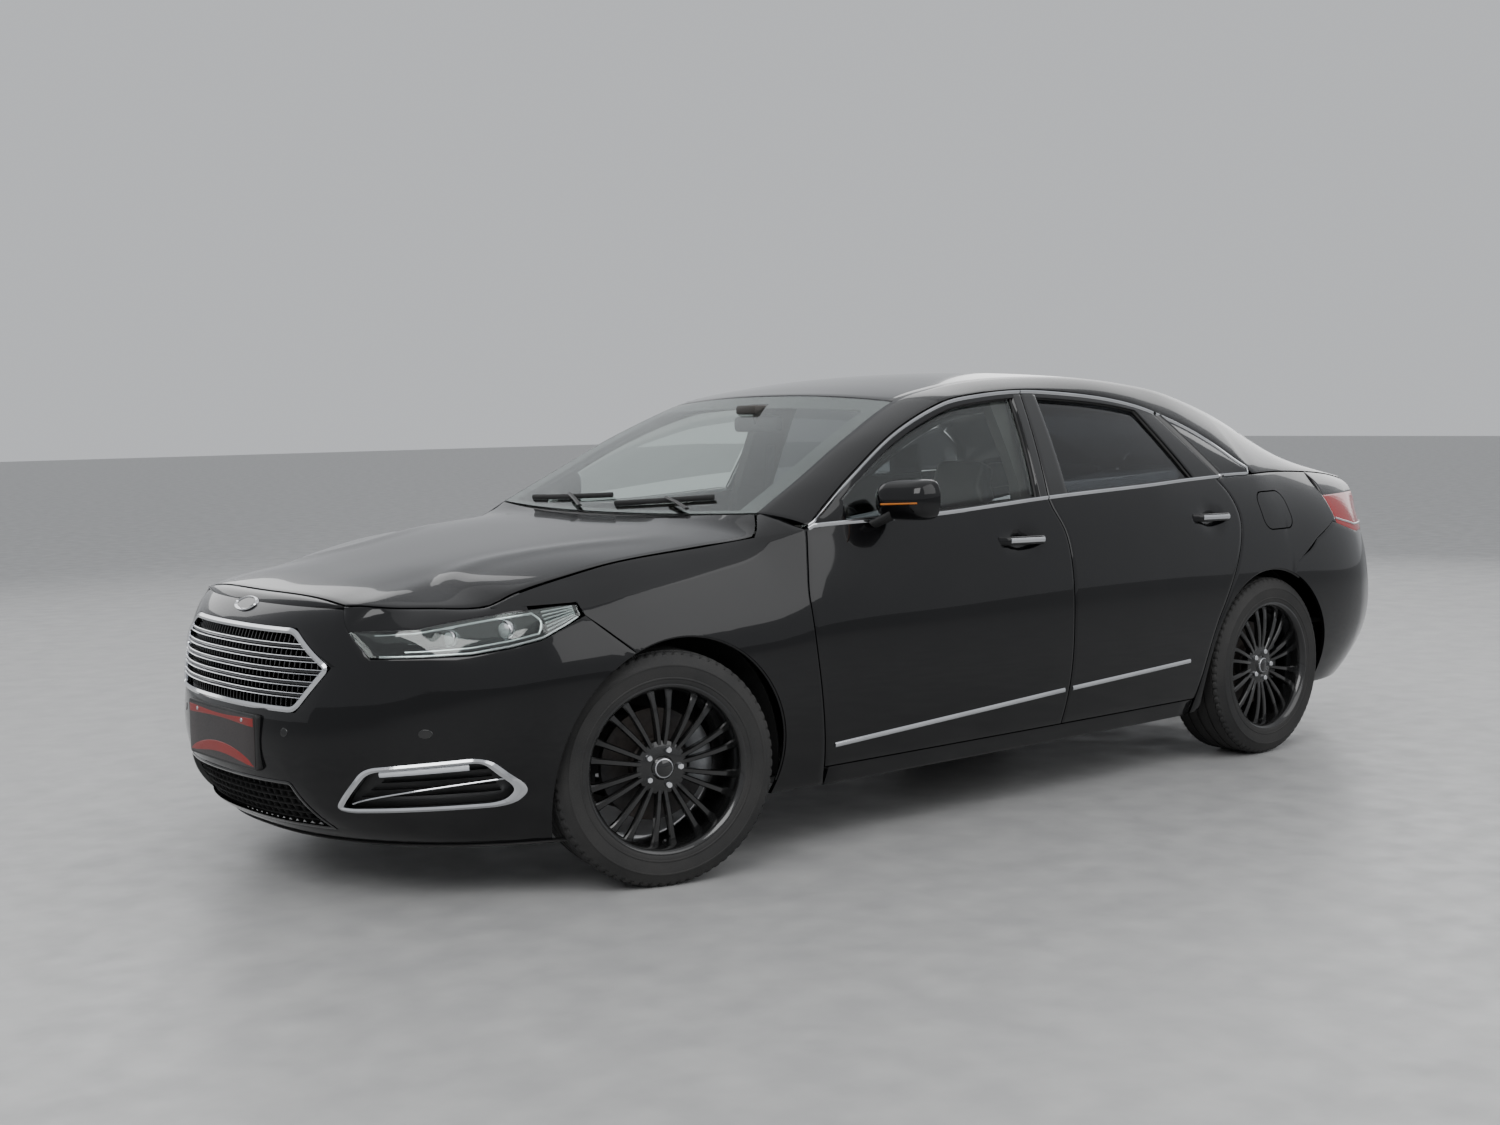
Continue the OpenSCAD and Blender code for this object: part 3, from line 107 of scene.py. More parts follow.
DOOR_BOTTOM, DOOR_THICK, FRAME_THICK, WINDOW_FRAME = 264, 66, 40, 26
SKIN, LID_THICK = 14, 22
ARCH_RADIUS, ARCH_Z, FRONT_ARCH_X = 398, 330, 1498
FRONT_AXLE, REAR_AXLE, AXLE_Z = 1510, -1406, 345
LID_HALF_WIDTH = 608
# Half the height of the joint between a door's lower and upper rows.
BELT_GAP = 6
# Foot of the wings and quarter panels beside the doors.
PANEL_FOOT = 204
# Height of the bumper's row under the headlamps, in the middle of the nose.
UNDER_LAMP_Z = 707
LAMP_END_X, LAMP_FOOT_Z, LAMP_TOP_Z, BUMPER_EDGE_Z = 2290, 711, 779, 838
TAIL_FRONT_ANGLE, TAIL_LAMP_END_X = -4.4, -2300
# How far from the middle the wheel arch cutters start and end.
ARCH_INNER, ARCH_OUTER = 400, 1000
# Corners over this many degrees stay sharp.
SHARP_ANGLE = 32.0


def lerp(a: float, b: float, t: float) -> float:
    """Returns the value that lies a share t of the way from a to b."""
    return a + (b - a) * t


def between(a: Point, b: Point, t: float) -> Point:
    """Returns the point that lies a share t of the way from a to b."""
    return (lerp(a[0], b[0], t), lerp(a[1], b[1], t), lerp(a[2], b[2], t))


def steps(n: int) -> list[float]:
    """Returns n + 1 even shares from 0 to 1."""
    return [i / n for i in range(n + 1)]


def curve(k: Table, x: float, c: int = 1) -> float:
    """Reads column c of table k at x on a smooth curve through its rows."""
    q = min(max(x, k[0][0]), k[-1][0])
    i = next((j for j in range(len(k) - 2) if q < k[j + 1][0]), len(k) - 2)

    def slope(j: int) -> float:
        a, b = max(j - 1, 0), min(j + 1, len(k) - 1)
        return (k[b][c] - k[a][c]) / (k[b][0] - k[a][0])

    h = k[i + 1][0] - k[i][0]
    t = (q - k[i][0]) / h
    return (k[i][c] * (1 + 2 * t) * (1 - t) ** 2 + h * slope(i) * t * (1 - t) ** 2
            + k[i + 1][c] * t * t * (3 - 2 * t) + h * slope(i + 1) * t * t * (t - 1))


def broken(k: Table, x: float, c: int = 1) -> float:
    """Reads column c of table k at x on straight lines between its rows."""
    q = min(max(x, k[0][0]), k[-1][0])
    i = next((j for j in range(len(k) - 2) if q < k[j + 1][0]), len(k) - 2)
    return lerp(k[i][c], k[i + 1][c], (q - k[i][0]) / (k[i + 1][0] - k[i][0]))


def round_in(x: float, start: float, reach: float, power: float) -> float:
    """Returns the share of the half width that is left at x, past start."""
    t = min(max((x - start) / (reach - start), 0), 1)
    return (1 - t ** power) ** (1 / power)


def nose_reach(z: float) -> float:
    """Returns how far forward the nose reaches on the centre line at height z."""
    return curve(NOSE, z)


def tail_reach(z: float) -> float:
    """Returns how far back the tail reaches on the centre line at height z."""
    return curve(TAIL, z)


def flank(x: float, z: float) -> float:
    """Returns the body's half width at x and z, before the nose and tail curve in."""
    w, up = curve(WAIST, x), curve(SHOULDER, x, 1)
    ends = (round_in(x, NOSE_START, nose_reach(up), NOSE_POWER)
            * round_in(-x, TAIL_START, tail_reach(up), TAIL_POWER))
    y = min(w, curve(SHOULDER, x, 2) / max(ends, 0.3))
    h = min(max(0.0, (z - WAIST_Z) / (up - WAIST_Z)), 1.0)
    b = min(max(0.0, (WAIST_Z - z) / (WAIST_Z - curve(SILL, x))), 1.3)
    return w - (w - y) * h ** 2.6 - SILL_TUCK * b ** 2.4


def side_y(x: float, z: float) -> float:
    """Returns the half width of the body side under the shoulder."""
    return (flank(x, z) * round_in(x, NOSE_START, nose_reach(z), NOSE_POWER)
            * round_in(-x, TAIL_START, tail_reach(z), TAIL_POWER))


def glass_y(x: float, z: float) -> float:
    """Returns the half width of the glasshouse, from the shoulder up to the chrome line."""
    z0 = curve(SHOULDER, x, 1)
    z1 = max(curve(RAIL, x, 1), z0 + 30)
    t = min(1.0, max(0.0, (z - z0) / (z1 - z0)))
    return lerp(curve(SHOULDER, x, 2), curve(RAIL, x, 2), t) + 32 * t * (1 - t)


def nose_point(a: float, z: float, t: float = 0) -> Point:
    """Returns a point of the nose at plan angle a, 0 at the side and 90 in the middle, t deep."""
    r = math.radians(a)
    x = NOSE_START + (nose_reach(z) - NOSE_START - t) * max(0.0, math.sin(r)) ** (2 / NOSE_POWER)
    return (x, (flank(x, z) - t) * max(0.0, math.cos(r)) ** (2 / NOSE_POWER), z)


def tail_point(a: float, z: float, t: float = 0) -> Point:
    """Returns a point of the tail at plan angle a, 0 at the side and 90 in the middle, t deep."""
    r = math.radians(a)
    x = -TAIL_START - (tail_reach(z) - TAIL_START - t) * max(0.0, math.sin(r)) ** (2 / TAIL_POWER)
    return (x, (flank(x, z) - t) * max(0.0, math.cos(r)) ** (2 / TAIL_POWER), z)


def plan_angle(share: float, power: float, from_side: bool) -> float:
    """Returns the plan angle at which a share of the reach, or of the half width, is met."""
    s = min(max(share, 0.0), 1.0) ** (power / 2)
    return math.degrees(math.asin(s) if from_side else math.acos(s))


def nose_angle_x(x: float, z: float) -> float:
    """Returns the nose's plan angle at x."""
    return plan_angle((x - NOSE_START) / (nose_reach(z) - NOSE_START), NOSE_POWER, True)


def nose_angle_y(y: float, z: float) -> float:
    """Returns the nose's plan angle at half width y."""
    return plan_angle(y / flank(2400, z), NOSE_POWER, False)


def tail_angle_x(x: float, z: float) -> float:
    """Returns the tail's plan angle at x."""
    return plan_angle((-x - TAIL_START) / (tail_reach(z) - TAIL_START), TAIL_POWER, True)


def tail_angle_y(y: float, z: float) -> float:
    """Returns the tail's plan angle at half width y."""
    return plan_angle(y / flank(-2400, z), TAIL_POWER, False)


def nose_at(y: float, z: float, t: float = 0) -> Point:
    """Returns the nose's surface point at y, either side of the middle, t deep."""
    p = nose_point(nose_angle_y(abs(y), z), z, t)
    return (p[0], math.copysign(p[1], y) if y else 0.0, z)


def tail_at(y: float, z: float, t: float = 0) -> Point:
    """Returns the tail's surface point at y, either side of the middle, t deep."""
    p = tail_point(tail_angle_y(abs(y), z), z, t)
    return (p[0], math.copysign(p[1], y) if y else 0.0, z)


def side_at(x: float, z: float, t: float = 0) -> Point:
    """Returns a point of the left body side, t deep."""
    return (x, side_y(x, z) - t, z)


def upper_at(x: float, z: float, t: float = 0) -> Point:
    """Returns a point of the left glasshouse side, t deep."""
    return (x, glass_y(x, z) - t, z)


def roof_edge(x: float) -> Point:
    """Returns a point of the roof's left side edge."""
    return (x, curve(EDGE, x, 2), curve(EDGE, x, 1))


# ---- Finishes ----


class Pattern(Enum):
    """The small pattern that a finish carries."""

    SPECKLE = "speckle"
    LEATHER = "leather"
    RIBS = "ribs"
    WEAVE = "weave"
    BRUSHED = "brushed"


@dataclass(frozen=True)
class Finish:
    """How a surface looks: its colours, its shine and the pattern on it."""

    name: str
    color: tuple[float, float, float]
    worn: tuple[float, float, float]
    shine: tuple[float, float] = (0.3, 0.5)
    metallic: float = 0.0
    coat: float = 0.0
    clear: float = 0.0
    glow: float = 0.0
    pattern: Pattern = Pattern.SPECKLE
    scale: float = 90.0
    depth: float = 0.00005
    sheen: float = 0.0
    spec: float = 0.5

    def build(self) -> bpy.types.Material:
        """Makes the material, with its pattern on Object coordinates.

        Returns:
            The material, which is shared by every piece of this finish.
        """
        label = "look_" + self.name
        made = bpy.data.materials.get(label)
        if made:
            return made
        made = bpy.data.materials.new(label)
        made.use_nodes = True
        tree = made.node_tree
        shader = tree.nodes["Principled BSDF"]
        constants = {"Metallic": self.metallic, "Coat Weight": self.coat, "Coat Roughness": 0.03,
                     "Transmission Weight": self.clear, "Sheen Weight": self.sheen, "IOR": 1.5,
                     "Specular IOR Level": self.spec,
                     "Emission Strength": self.glow}
        for socket, value in constants.items():
            shader.inputs[socket].default_value = value
        shader.inputs["Emission Color"].default_value = (*self.worn, 1)
        place = tree.nodes.new("ShaderNodeTexCoord").outputs["Object"]
        broad = self._noise(tree, place, 6.0, 3.0)
        fine = self._fine(tree, place)
        tree.links.new(self._ramp(tree, broad, (*self.color, 1), (*self.worn, 1)),
                       shader.inputs["Base Color"])
        low, high = self.shine
        tree.links.new(self._ramp(tree, fine, (low, low, low, 1), (high, high, high, 1)),
                       shader.inputs["Roughness"])
        bump = tree.nodes.new("ShaderNodeBump")
        bump.inputs["Strength"].default_value = 0.6
        bump.inputs["Distance"].default_value = self.depth
        tree.links.new(fine, bump.inputs["Height"])
        tree.links.new(bump.outputs["Normal"], shader.inputs["Normal"])
        return made

    def _noise(self, tree: bpy.types.NodeTree, place: bpy.types.NodeSocket, scale: float,
               detail: float) -> bpy.types.NodeSocket:
        """Adds a noise node on a place socket, and returns its value socket."""
        node = tree.nodes.new("ShaderNodeTexNoise")
        node.inputs["Scale"].default_value = scale
        node.inputs["Detail"].default_value = detail
        tree.links.new(place, node.inputs["Vector"])
        return node.outputs["Fac"]

    def _wave(self, tree: bpy.types.NodeTree, place: bpy.types.NodeSocket, scale: float,
              direction: str) -> bpy.types.NodeSocket:
        """Adds straight bands across one axis, and returns their value socket."""
        node = tree.nodes.new("ShaderNodeTexWave")
        node.bands_direction = direction
        node.inputs["Scale"].default_value = scale
        node.inputs["Distortion"].default_value = 0.3
        tree.links.new(place, node.inputs["Vector"])
        return node.outputs["Fac"]

    def _fine(self, tree: bpy.types.NodeTree, place: bpy.types.NodeSocket) -> bpy.types.NodeSocket:
        """Adds the nodes of the small pattern, and returns their value socket."""
        if self.pattern is Pattern.LEATHER:
            node = tree.nodes.new("ShaderNodeTexVoronoi")
            node.feature = "SMOOTH_F1"
            node.inputs["Scale"].default_value = self.scale
            tree.links.new(place, node.inputs["Vector"])
            return node.outputs["Distance"]
        if self.pattern is Pattern.RIBS:
            return self._wave(tree, place, self.scale, "Z")
        if self.pattern is Pattern.WEAVE:
            mix = tree.nodes.new("ShaderNodeMath")
            mix.operation = "MULTIPLY"
            tree.links.new(self._wave(tree, place, self.scale, "X"), mix.inputs[0])
            tree.links.new(self._wave(tree, place, self.scale, "Y"), mix.inputs[1])
            return mix.outputs[0]
        if self.pattern is Pattern.BRUSHED:
            stretch = tree.nodes.new("ShaderNodeMapping")
            stretch.inputs["Scale"].default_value = (0.05, 1, 1)
            tree.links.new(place, stretch.inputs["Vector"])
            return self._noise(tree, stretch.outputs["Vector"], self.scale, 4.0)
        return self._noise(tree, place, self.scale, 4.0)

    def _ramp(self, tree: bpy.types.NodeTree, value: bpy.types.NodeSocket, low: tuple,
              high: tuple) -> bpy.types.NodeSocket:
        """Adds a ramp between two colours, and returns its colour socket."""
        node = tree.nodes.new("ShaderNodeValToRGB")
        ends = node.color_ramp.elements
        ends[0].position, ends[1].position = 0.35, 0.7
        ends[0].color, ends[1].color = low, high
        tree.links.new(value, node.inputs["Fac"])
        return node.outputs["Color"]


PAINT = Finish("black_paint", (0.0025, 0.0025, 0.003), (0.0035, 0.0035, 0.004), (0.2, 0.28), 0.0, 0.7,
               scale=1400.0, depth=0.000003, spec=0.08)
WHEEL_PAINT = Finish("wheel_paint", (0.006, 0.006, 0.006), (0.012, 0.012, 0.012), (0.18, 0.3), 0.3, 0.7,
                     scale=500.0, depth=0.00001)
CHROME = Finish("chrome", (0.72, 0.73, 0.75), (0.62, 0.63, 0.65), (0.06, 0.14), 1.0, scale=220.0,
                depth=0.000004)
SATIN_METAL = Finish("satin_metal", (0.62, 0.63, 0.65), (0.5, 0.5, 0.52), (0.22, 0.35), 1.0,
                     pattern=Pattern.BRUSHED, scale=180.0, depth=0.00001)
IRON = Finish("iron", (0.05, 0.05, 0.052), (0.09, 0.075, 0.065), (0.5, 0.75), 0.7, scale=60.0, depth=0.0004)
ALLOY = Finish("cast_alloy", (0.3, 0.31, 0.32), (0.2, 0.2, 0.2), (0.4, 0.6), 0.9, scale=140.0, depth=0.0002)
PLASTIC = Finish("black_plastic", (0.012, 0.012, 0.012), (0.02, 0.02, 0.02), (0.45, 0.6),
                 pattern=Pattern.LEATHER, scale=900.0, depth=0.0001)
GLOSS_BLACK = Finish("gloss_black", (0.004, 0.004, 0.004), (0.006, 0.006, 0.006), (0.08, 0.14), 0.0, 0.6,
                     scale=700.0, depth=0.000005)
SEAL = Finish("rubber_seal", (0.01, 0.01, 0.01), (0.018, 0.018, 0.018), (0.6, 0.8), scale=500.0, depth=0.0001)
RUBBER = Finish("tyre_rubber", (0.012, 0.012, 0.012), (0.024, 0.023, 0.022), (0.62, 0.82), scale=400.0,
                depth=0.0002)
CABIN = Finish("cabin_plastic", (0.03, 0.027, 0.024), (0.045, 0.04, 0.035), (0.5, 0.7),
               pattern=Pattern.LEATHER, scale=700.0, depth=0.0002)
CARPET = Finish("carpet", (0.02, 0.019, 0.018), (0.04, 0.037, 0.034), (0.85, 0.98), scale=1200.0, depth=0.002,
                sheen=0.4)
LEATHER = Finish("leather", (0.035, 0.03, 0.027), (0.055, 0.047, 0.041), (0.38, 0.6),
                 pattern=Pattern.LEATHER, scale=420.0, depth=0.0005)
HEADLINER = Finish("headliner", (0.5, 0.48, 0.44), (0.42, 0.4, 0.37), (0.85, 0.95), pattern=Pattern.WEAVE,
                   scale=300.0, depth=0.0003)
CLEAR_GLASS = Finish("clear_glass", (0.86, 0.93, 0.9), (0.84, 0.91, 0.88), (0.0, 0.012), clear=1.0,
                     scale=40.0, depth=0.000001)
TINTED_GLASS = Finish("tinted_glass", (0.16, 0.17, 0.18), (0.14, 0.15, 0.16), (0.0, 0.015), clear=1.0,
                      scale=40.0, depth=0.000001)
DARK_GLASS = Finish("dark_glass", (0.05, 0.05, 0.055), (0.045, 0.045, 0.05), (0.0, 0.015), clear=1.0,
                    scale=40.0, depth=0.000001)
RED_LENS = Finish("red_lens", (0.5, 0.01, 0.012), (0.38, 0.008, 0.01), (0.04, 0.1), clear=0.35,
                  pattern=Pattern.RIBS, scale=60.0, depth=0.0002)
WHITE_LENS = Finish("white_lens", (0.8, 0.82, 0.85), (0.7, 0.72, 0.75), (0.1, 0.25), clear=0.3,
                    pattern=Pattern.RIBS, scale=80.0, depth=0.0004)
MIRROR = Finish("mirror_glass", (0.75, 0.77, 0.8), (0.7, 0.72, 0.75), (0.01, 0.03), 1.0, scale=20.0,
                depth=0.000001)
AMBER = Finish("amber_lens", (0.7, 0.22, 0.02), (0.6, 0.18, 0.02), (0.1, 0.2), clear=0.3,
               pattern=Pattern.RIBS, scale=90.0, depth=0.0002)
PLATE_RED = Finish("plate_red", (0.26, 0.015, 0.012), (0.2, 0.012, 0.01), (0.3, 0.45), scale=300.0,
                   depth=0.00002)
PLATE_DARK = Finish("plate_dark", (0.02, 0.016, 0.016), (0.03, 0.022, 0.022), (0.3, 0.45), scale=300.0,
                    depth=0.00002)
FLOOR = Finish("studio_floor", (0.34, 0.34, 0.34), (0.4, 0.4, 0.395), (0.35, 0.5), scale=8.0, depth=0.0001)


# ---- Mesh helpers ----


def make_piece(name: str, verts: Sequence[Point], faces: Sequence[Sequence[int]], finish: Finish, body: str,
               slot: str, edge: float = 0.0, angle: float = SHARP_ANGLE,
               merge: float = 0.0) -> bpy.types.Object:
    """Makes one piece from points in millimetres.

    Args:
        name: Name of the piece.
        verts: Corner points, in millimetres.
        faces: Corner numbers of each face.
        finish: The piece's finish.
        body: The body that it rides on.
        slot: Name of a material slot; not used.
        edge: Width of the rounding on its sharp edges, in millimetres.
        angle: Corners over this many degrees stay sharp.
        merge: Corners closer than this many millimetres become one.

    Returns:
        The new object.
    """
    bm = bmesh.new()
    made = [bm.verts.new((p[0] * MM, p[1] * MM, p[2] * MM)) for p in verts]
    for f in faces:
        try:
            bm.faces.new([made[i] for i in f])
        except ValueError:
            continue
    return finish_piece(name, bm, finish, body, edge, angle, merge)


def finish_piece(name: str, bm: bmesh.types.BMesh, finish: Finish, body: str, edge: float = 0.0,
                 angle: float = SHARP_ANGLE, merge: float = 0.0) -> bpy.types.Object:
    """Turns a bmesh in metres into a piece: merged, rounded, smoothed, painted and riding."""
    bmesh.ops.remove_doubles(bm, verts=bm.verts[:], dist=max(merge, 0.02) * MM)
    bmesh.ops.delete(bm, geom=[v for v in bm.verts if not v.link_faces], context="VERTS")
    bmesh.ops.recalc_face_normals(bm, faces=bm.faces[:])
    if edge > 0:
        limit = math.radians(angle)
        sharp = [e for e in bm.edges if e.is_manifold and e.calc_face_angle(0) > limit]
        if sharp:
            bmesh.ops.bevel(bm, geom=sharp, offset=edge * MM, offset_type="OFFSET", segments=2, profile=0.5,
                            affect="EDGES", clamp_overlap=True, material=-1)
    bmesh.ops.triangulate(bm, faces=[f for f in bm.faces if len(f.verts) > 4])
    mesh = bpy.data.meshes.new(name)
    bm.to_mesh(mesh)
    bm.free()
    mesh.shade_smooth()
    mesh.set_sharp_from_angle(angle=math.radians(angle))
    mesh.materials.append(finish.build())
    piece = bpy.data.objects.new(name, mesh)
    bpy.context.collection.objects.link(piece)
    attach(piece, body)
    log.info("%s: %d faces", name, len(mesh.polygons))
    return piece


def shell_mesh(outer: Grid, inner: Grid, gaps: Sequence[Sequence[int]] = ()) -> Shape:
    """Closes the space between an outer and an inner grid of points, with some blocks of cells open."""
    rows, cols = len(outer) - 1, len(outer[0]) - 1
    n = (rows + 1) * (cols + 1)
    points = [p for row in outer for p in row] + [p for row in inner for p in row]

    def at(j: int, i: int) -> int:
        return j * (cols + 1) + i

    def filled(j: int, i: int) -> bool:
        return (0 <= j < rows and 0 <= i < cols
                and not any(g[0] <= j < g[1] and g[2] <= i < g[3] for g in gaps))

    faces = []
    for j in range(rows):
        for i in range(cols):
            if not filled(j, i):
                continue
            faces.append([at(j, i), at(j + 1, i), at(j + 1, i + 1), at(j, i + 1)])
            faces.append([n + at(j, i), n + at(j, i + 1), n + at(j + 1, i + 1), n + at(j + 1, i)])
            if not filled(j - 1, i):
                faces.append([at(j, i), at(j, i + 1), n + at(j, i + 1), n + at(j, i)])
            if not filled(j + 1, i):
                faces.append([at(j + 1, i + 1), at(j + 1, i), n + at(j + 1, i), n + at(j + 1, i + 1)])
            if not filled(j, i - 1):
                faces.append([at(j + 1, i), at(j, i), n + at(j, i), n + at(j + 1, i)])
            if not filled(j, i + 1):
                faces.append([at(j, i + 1), at(j + 1, i + 1), n + at(j + 1, i + 1), n + at(j, i + 1)])
    return points, faces


def flipped(points: Sequence[Point], left: bool) -> list[Point]:
    """Mirrors points drawn on the left to the right side, if left is false."""
    return [p if left else (p[0], -p[1], p[2]) for p in points]


def shell_piece(name: str, outer: Grid, inner: Grid, finish: Finish, body: str, slot: str, left: bool = True,
                gaps: Sequence[Sequence[int]] = (), edge: float = 1.2,
                angle: float = SHARP_ANGLE) -> bpy.types.Object:
    """Makes a piece from two grids of points, on the left or mirrored to the right."""
    points, faces = shell_mesh(outer, inner, gaps)
    return make_piece(name, flipped(points, left), faces, finish, body, slot, edge, angle)


def tube_mesh(path: Sequence[Point], radius: float | tuple[float, float], sides: int = 10,
              closed: bool = False,
              up: Point = (0, 0, 1)) -> Shape:
    """Sweeps an oval of two half sizes, across and along up, on a path in millimetres."""
    rx, rz = (radius, radius) if isinstance(radius, (int, float)) else radius
    pts = [Vector(p) for p in path]
    n = len(pts)
    verts: list[Point] = []
    for i, p in enumerate(pts):
        before = pts[(i - 1) % n] if closed or i else p
        after = pts[(i + 1) % n] if closed or i < n - 1 else p
        along = (after - before).normalized()
        across = along.cross(Vector(up)).normalized()
        lift = across.cross(along).normalized()
        for k in range(sides):
            a = 2 * math.pi * k / sides
            verts.append(tuple(p + across * (rx * math.cos(a)) + lift * (rz * math.sin(a))))
    faces = []
    for i in range(n if closed else n - 1):
        j = (i + 1) % n
        for k in range(sides):
            m = (k + 1) % sides
            faces.append([i * sides + k, i * sides + m, j * sides + m, j * sides + k])
    if not closed:
        faces.append(list(range(sides)))
        faces.append([(n - 1) * sides + k for k in range(sides)][::-1])
    return verts, faces


def tube_piece(name: str, path: Sequence[Point], radius: float | tuple[float, float], finish: Finish,
               body: str,
               slot: str, closed: bool = False, up: Point = (0, 0, 1), sides: int = 10) -> bpy.types.Object:
    """Makes a swept piece along a path in millimetres."""
    verts, faces = tube_mesh(path, radius, sides, closed, up)
    return make_piece(name, verts, faces, finish, body, slot, angle=50)


def box_mesh(low: Point, high: Point) -> Shape:
    """Returns the corners and faces of a box."""
    verts = [(x, y, z) for x in (low[0], high[0]) for y in (low[1], high[1]) for z in (low[2], high[2])]
    faces = [[0, 1, 3, 2], [4, 6, 7, 5], [0, 4, 5, 1], [2, 3, 7, 6], [0, 2, 6, 4], [1, 5, 7, 3]]
    return verts, faces


def join(parts: Sequence[Shape]) -> Shape:
    """Puts several sets of points and faces into one."""
    verts: list[Point] = []
    faces: list[list[int]] = []
    for v, f in parts:
        base = len(verts)
        verts.extend(v)
        faces.extend([[i + base for i in face] for face in f])
    return verts, faces


def cut(piece: bpy.types.Object, tools: Sequence[Shape],
        how: str = "DIFFERENCE") -> None:
    """Cuts closed shapes, given in millimetres, out of a piece."""
    for verts, faces in tools:
        bm = bmesh.new()
        made = [bm.verts.new((p[0] * MM, p[1] * MM, p[2] * MM)) for p in verts]
        for f in faces:
            bm.faces.new([made[i] for i in f])
        bmesh.ops.recalc_face_normals(bm, faces=bm.faces[:])
        mesh = bpy.data.meshes.new("cutter")
        bm.to_mesh(mesh)
        bm.free()
        cutter = bpy.data.objects.new("cutter", mesh)
        bpy.context.collection.objects.link(cutter)
        step = piece.modifiers.new("cut", "BOOLEAN")
        step.operation, step.solver, step.object = how, "MANIFOLD", cutter
        bpy.context.view_layer.update()
        done = bpy.data.meshes.new_from_object(piece.evaluated_get(bpy.context.evaluated_depsgraph_get()))
        piece.modifiers.remove(step)
        old, piece.data = piece.data, done
        done.name = old.name
        bpy.data.meshes.remove(old)
        bpy.data.objects.remove(cutter)
        bpy.data.meshes.remove(mesh)
    piece.data.shade_smooth()
    piece.data.set_sharp_from_angle(angle=math.radians(SHARP_ANGLE))


def drum(x: float, z: float, y0: float, y1: float, radius: float, sides: int = 160) -> Shape:
    """Returns a cylinder across the car, as a cutter."""
    ring = [(math.cos(2 * math.pi * k / sides), math.sin(2 * math.pi * k / sides)) for k in range(sides)]
    verts = [(x + radius * c, y, z + radius * s) for y in (y0, y1) for c, s in ring]
    faces = [[k, (k + 1) % sides, sides + (k + 1) % sides, sides + k] for k in range(sides)]
    return verts, faces + [list(range(sides))[::-1], list(range(sides, 2 * sides))]


def finer(values: Sequence[float], n: int) -> list[float]:
    """Adds n - 1 even stops between each two values."""
    return [lerp(a, b, k / n) for a, b in zip(values, values[1:]) for k in range(n)] + [values[-1]]


# ---- Grids of the body panels ----

BELT_ROWS = 6
PANEL_ROWS = 7
FRONT_COLUMNS = (0, 0.035, 0.12, 0.24, 0.36, 0.48, 0.6, 0.7, 0.79, 0.86, 0.93, 1)
REAR_COLUMNS = (0, 0.08, 0.16, 0.28, 0.42, 0.56, 0.7, 0.83, 0.9, 1)
WING_X = (994, 1090, 1200, 1320, 1440, 1548, 1642, 1700, 1783, 1791, 1860, 1930, 2002)
QUARTER_X = (-1150, -1240, -1320, -1400, -1470, -1556, -1601, -1680, -1750, -1830, -1915, -1946)
FRAME_KEYS = ((-2345, -2350), (-2150, -2161), (-1900, -1950), (-1650, -1726), (-1466, -1500),
              (-1400, -1430), (-1324, -1350), (-1200, -1200), (-1023, -1000), (-900, -860), (-731, -700),
              (-500, -400), (-256, -100), (0, 150), (185, 321), (322, 460), (459, 600), (590, 725),
              (712, 850),
              (880, 990), (945, 1041))
SCREEN = ((327, 351, 1419), (460, 494, 1353), (600, 643, 1284), (725, 777, 1217), (850, 915, 1147),
          (990, 1068, 1068), (1041, 1125, 1040))
REAR_SCREEN = ((-2161, -2115, 1118), (-1950, -1925, 1183), (-1726, -1715, 1275), (-1500, -1500, 1361),
               (-1350, -1350, 1406), (-1206, -1216, 1438))
ROOF = ((-1200, -1210, 1440), (-1000, -1010, 1469), (-860, -860, 1485), (-700, -700, 1496),
        (-400, -400, 1502),
        (-100, -100, 1489), (150, 160, 1457), (321, 345, 1422))
QUARTER_GLASS_X = (-1440, -1380, -1324, -1200, -1110, -1030)
LAMP_COLUMNS = (1783, 1850, 1919, 2004, 2099, 2200)
BUMPER_Z = (158, 215, 282, 350, 440, 552, 616, 681)
BUMPER_TOP_Z = (732, 782, 838)
TAIL_COLUMNS = (-1640, -1750, -1850, -1915, -2000, -2110)
TAIL_Z = (232, 300, 420, 520, 600, 676)
TAIL_LAMP_X = (-1947, -2000, -2110, -2230)
TAIL_SHELF, TAIL_LAMP_TOP = 684, 986
BONNET_BOW, BONNET_FRONT_BOW, BONNET_SQUARE, BONNET_TUCK = 118, 36, 3.2, 28
CREASE = ((1405, 600), (1807, 430), (2071, 470), (2347, 500))
LID_MIDDLE = ((-2122, 1113), (-2220, 1094), (-2330, 1066), (-2412, 1046), (-2436, 1012), (-2446, 940),
              (-2456, 860), (-2470, 770), (-2474, 692))
LID_SIDE = ((-2168, 548, 1086), (-2230, 562, 1074), (-2310, 580, 1056), (-2368, 592, 1038),
            (-2384, 598, 1008),
            (-2392, 602, 940), (-2398, 604, 860), (-2404, 606, 770), (-2406, 608, 692))
FLAP_X, FLAP_Z, FLAP_SIZE, FLAP_CORNER = -1505, 948, (200, 140), 45
HANDLES = ((14, 918), (-1068, 942))


def line_foot(line: Table) -> float:
    """Returns where a shut line crosses the belt."""
    return curve(line, 1050)


def line_upper(line: Table, z: float) -> float:
    """Returns x of a shut line over the belt, where it runs straight."""
    low = curve(SHOULDER, line_foot(line)) + BELT_GAP
    return lerp(line_foot(line), line[-1][1], (z - low) / (line[-1][0] - low))


def dent(x: float, z: float) -> float:
    """Returns how deep the door skin dips round a door handle at x and z."""
    deep = 0.0
    for hx, hz in HANDLES:
        r = ((x - hx - 12) / 92) ** 2 + ((z - hz + 4) / 34) ** 2
        deep += 20 * max(0.0, 1 - r) ** 1.2
    return deep


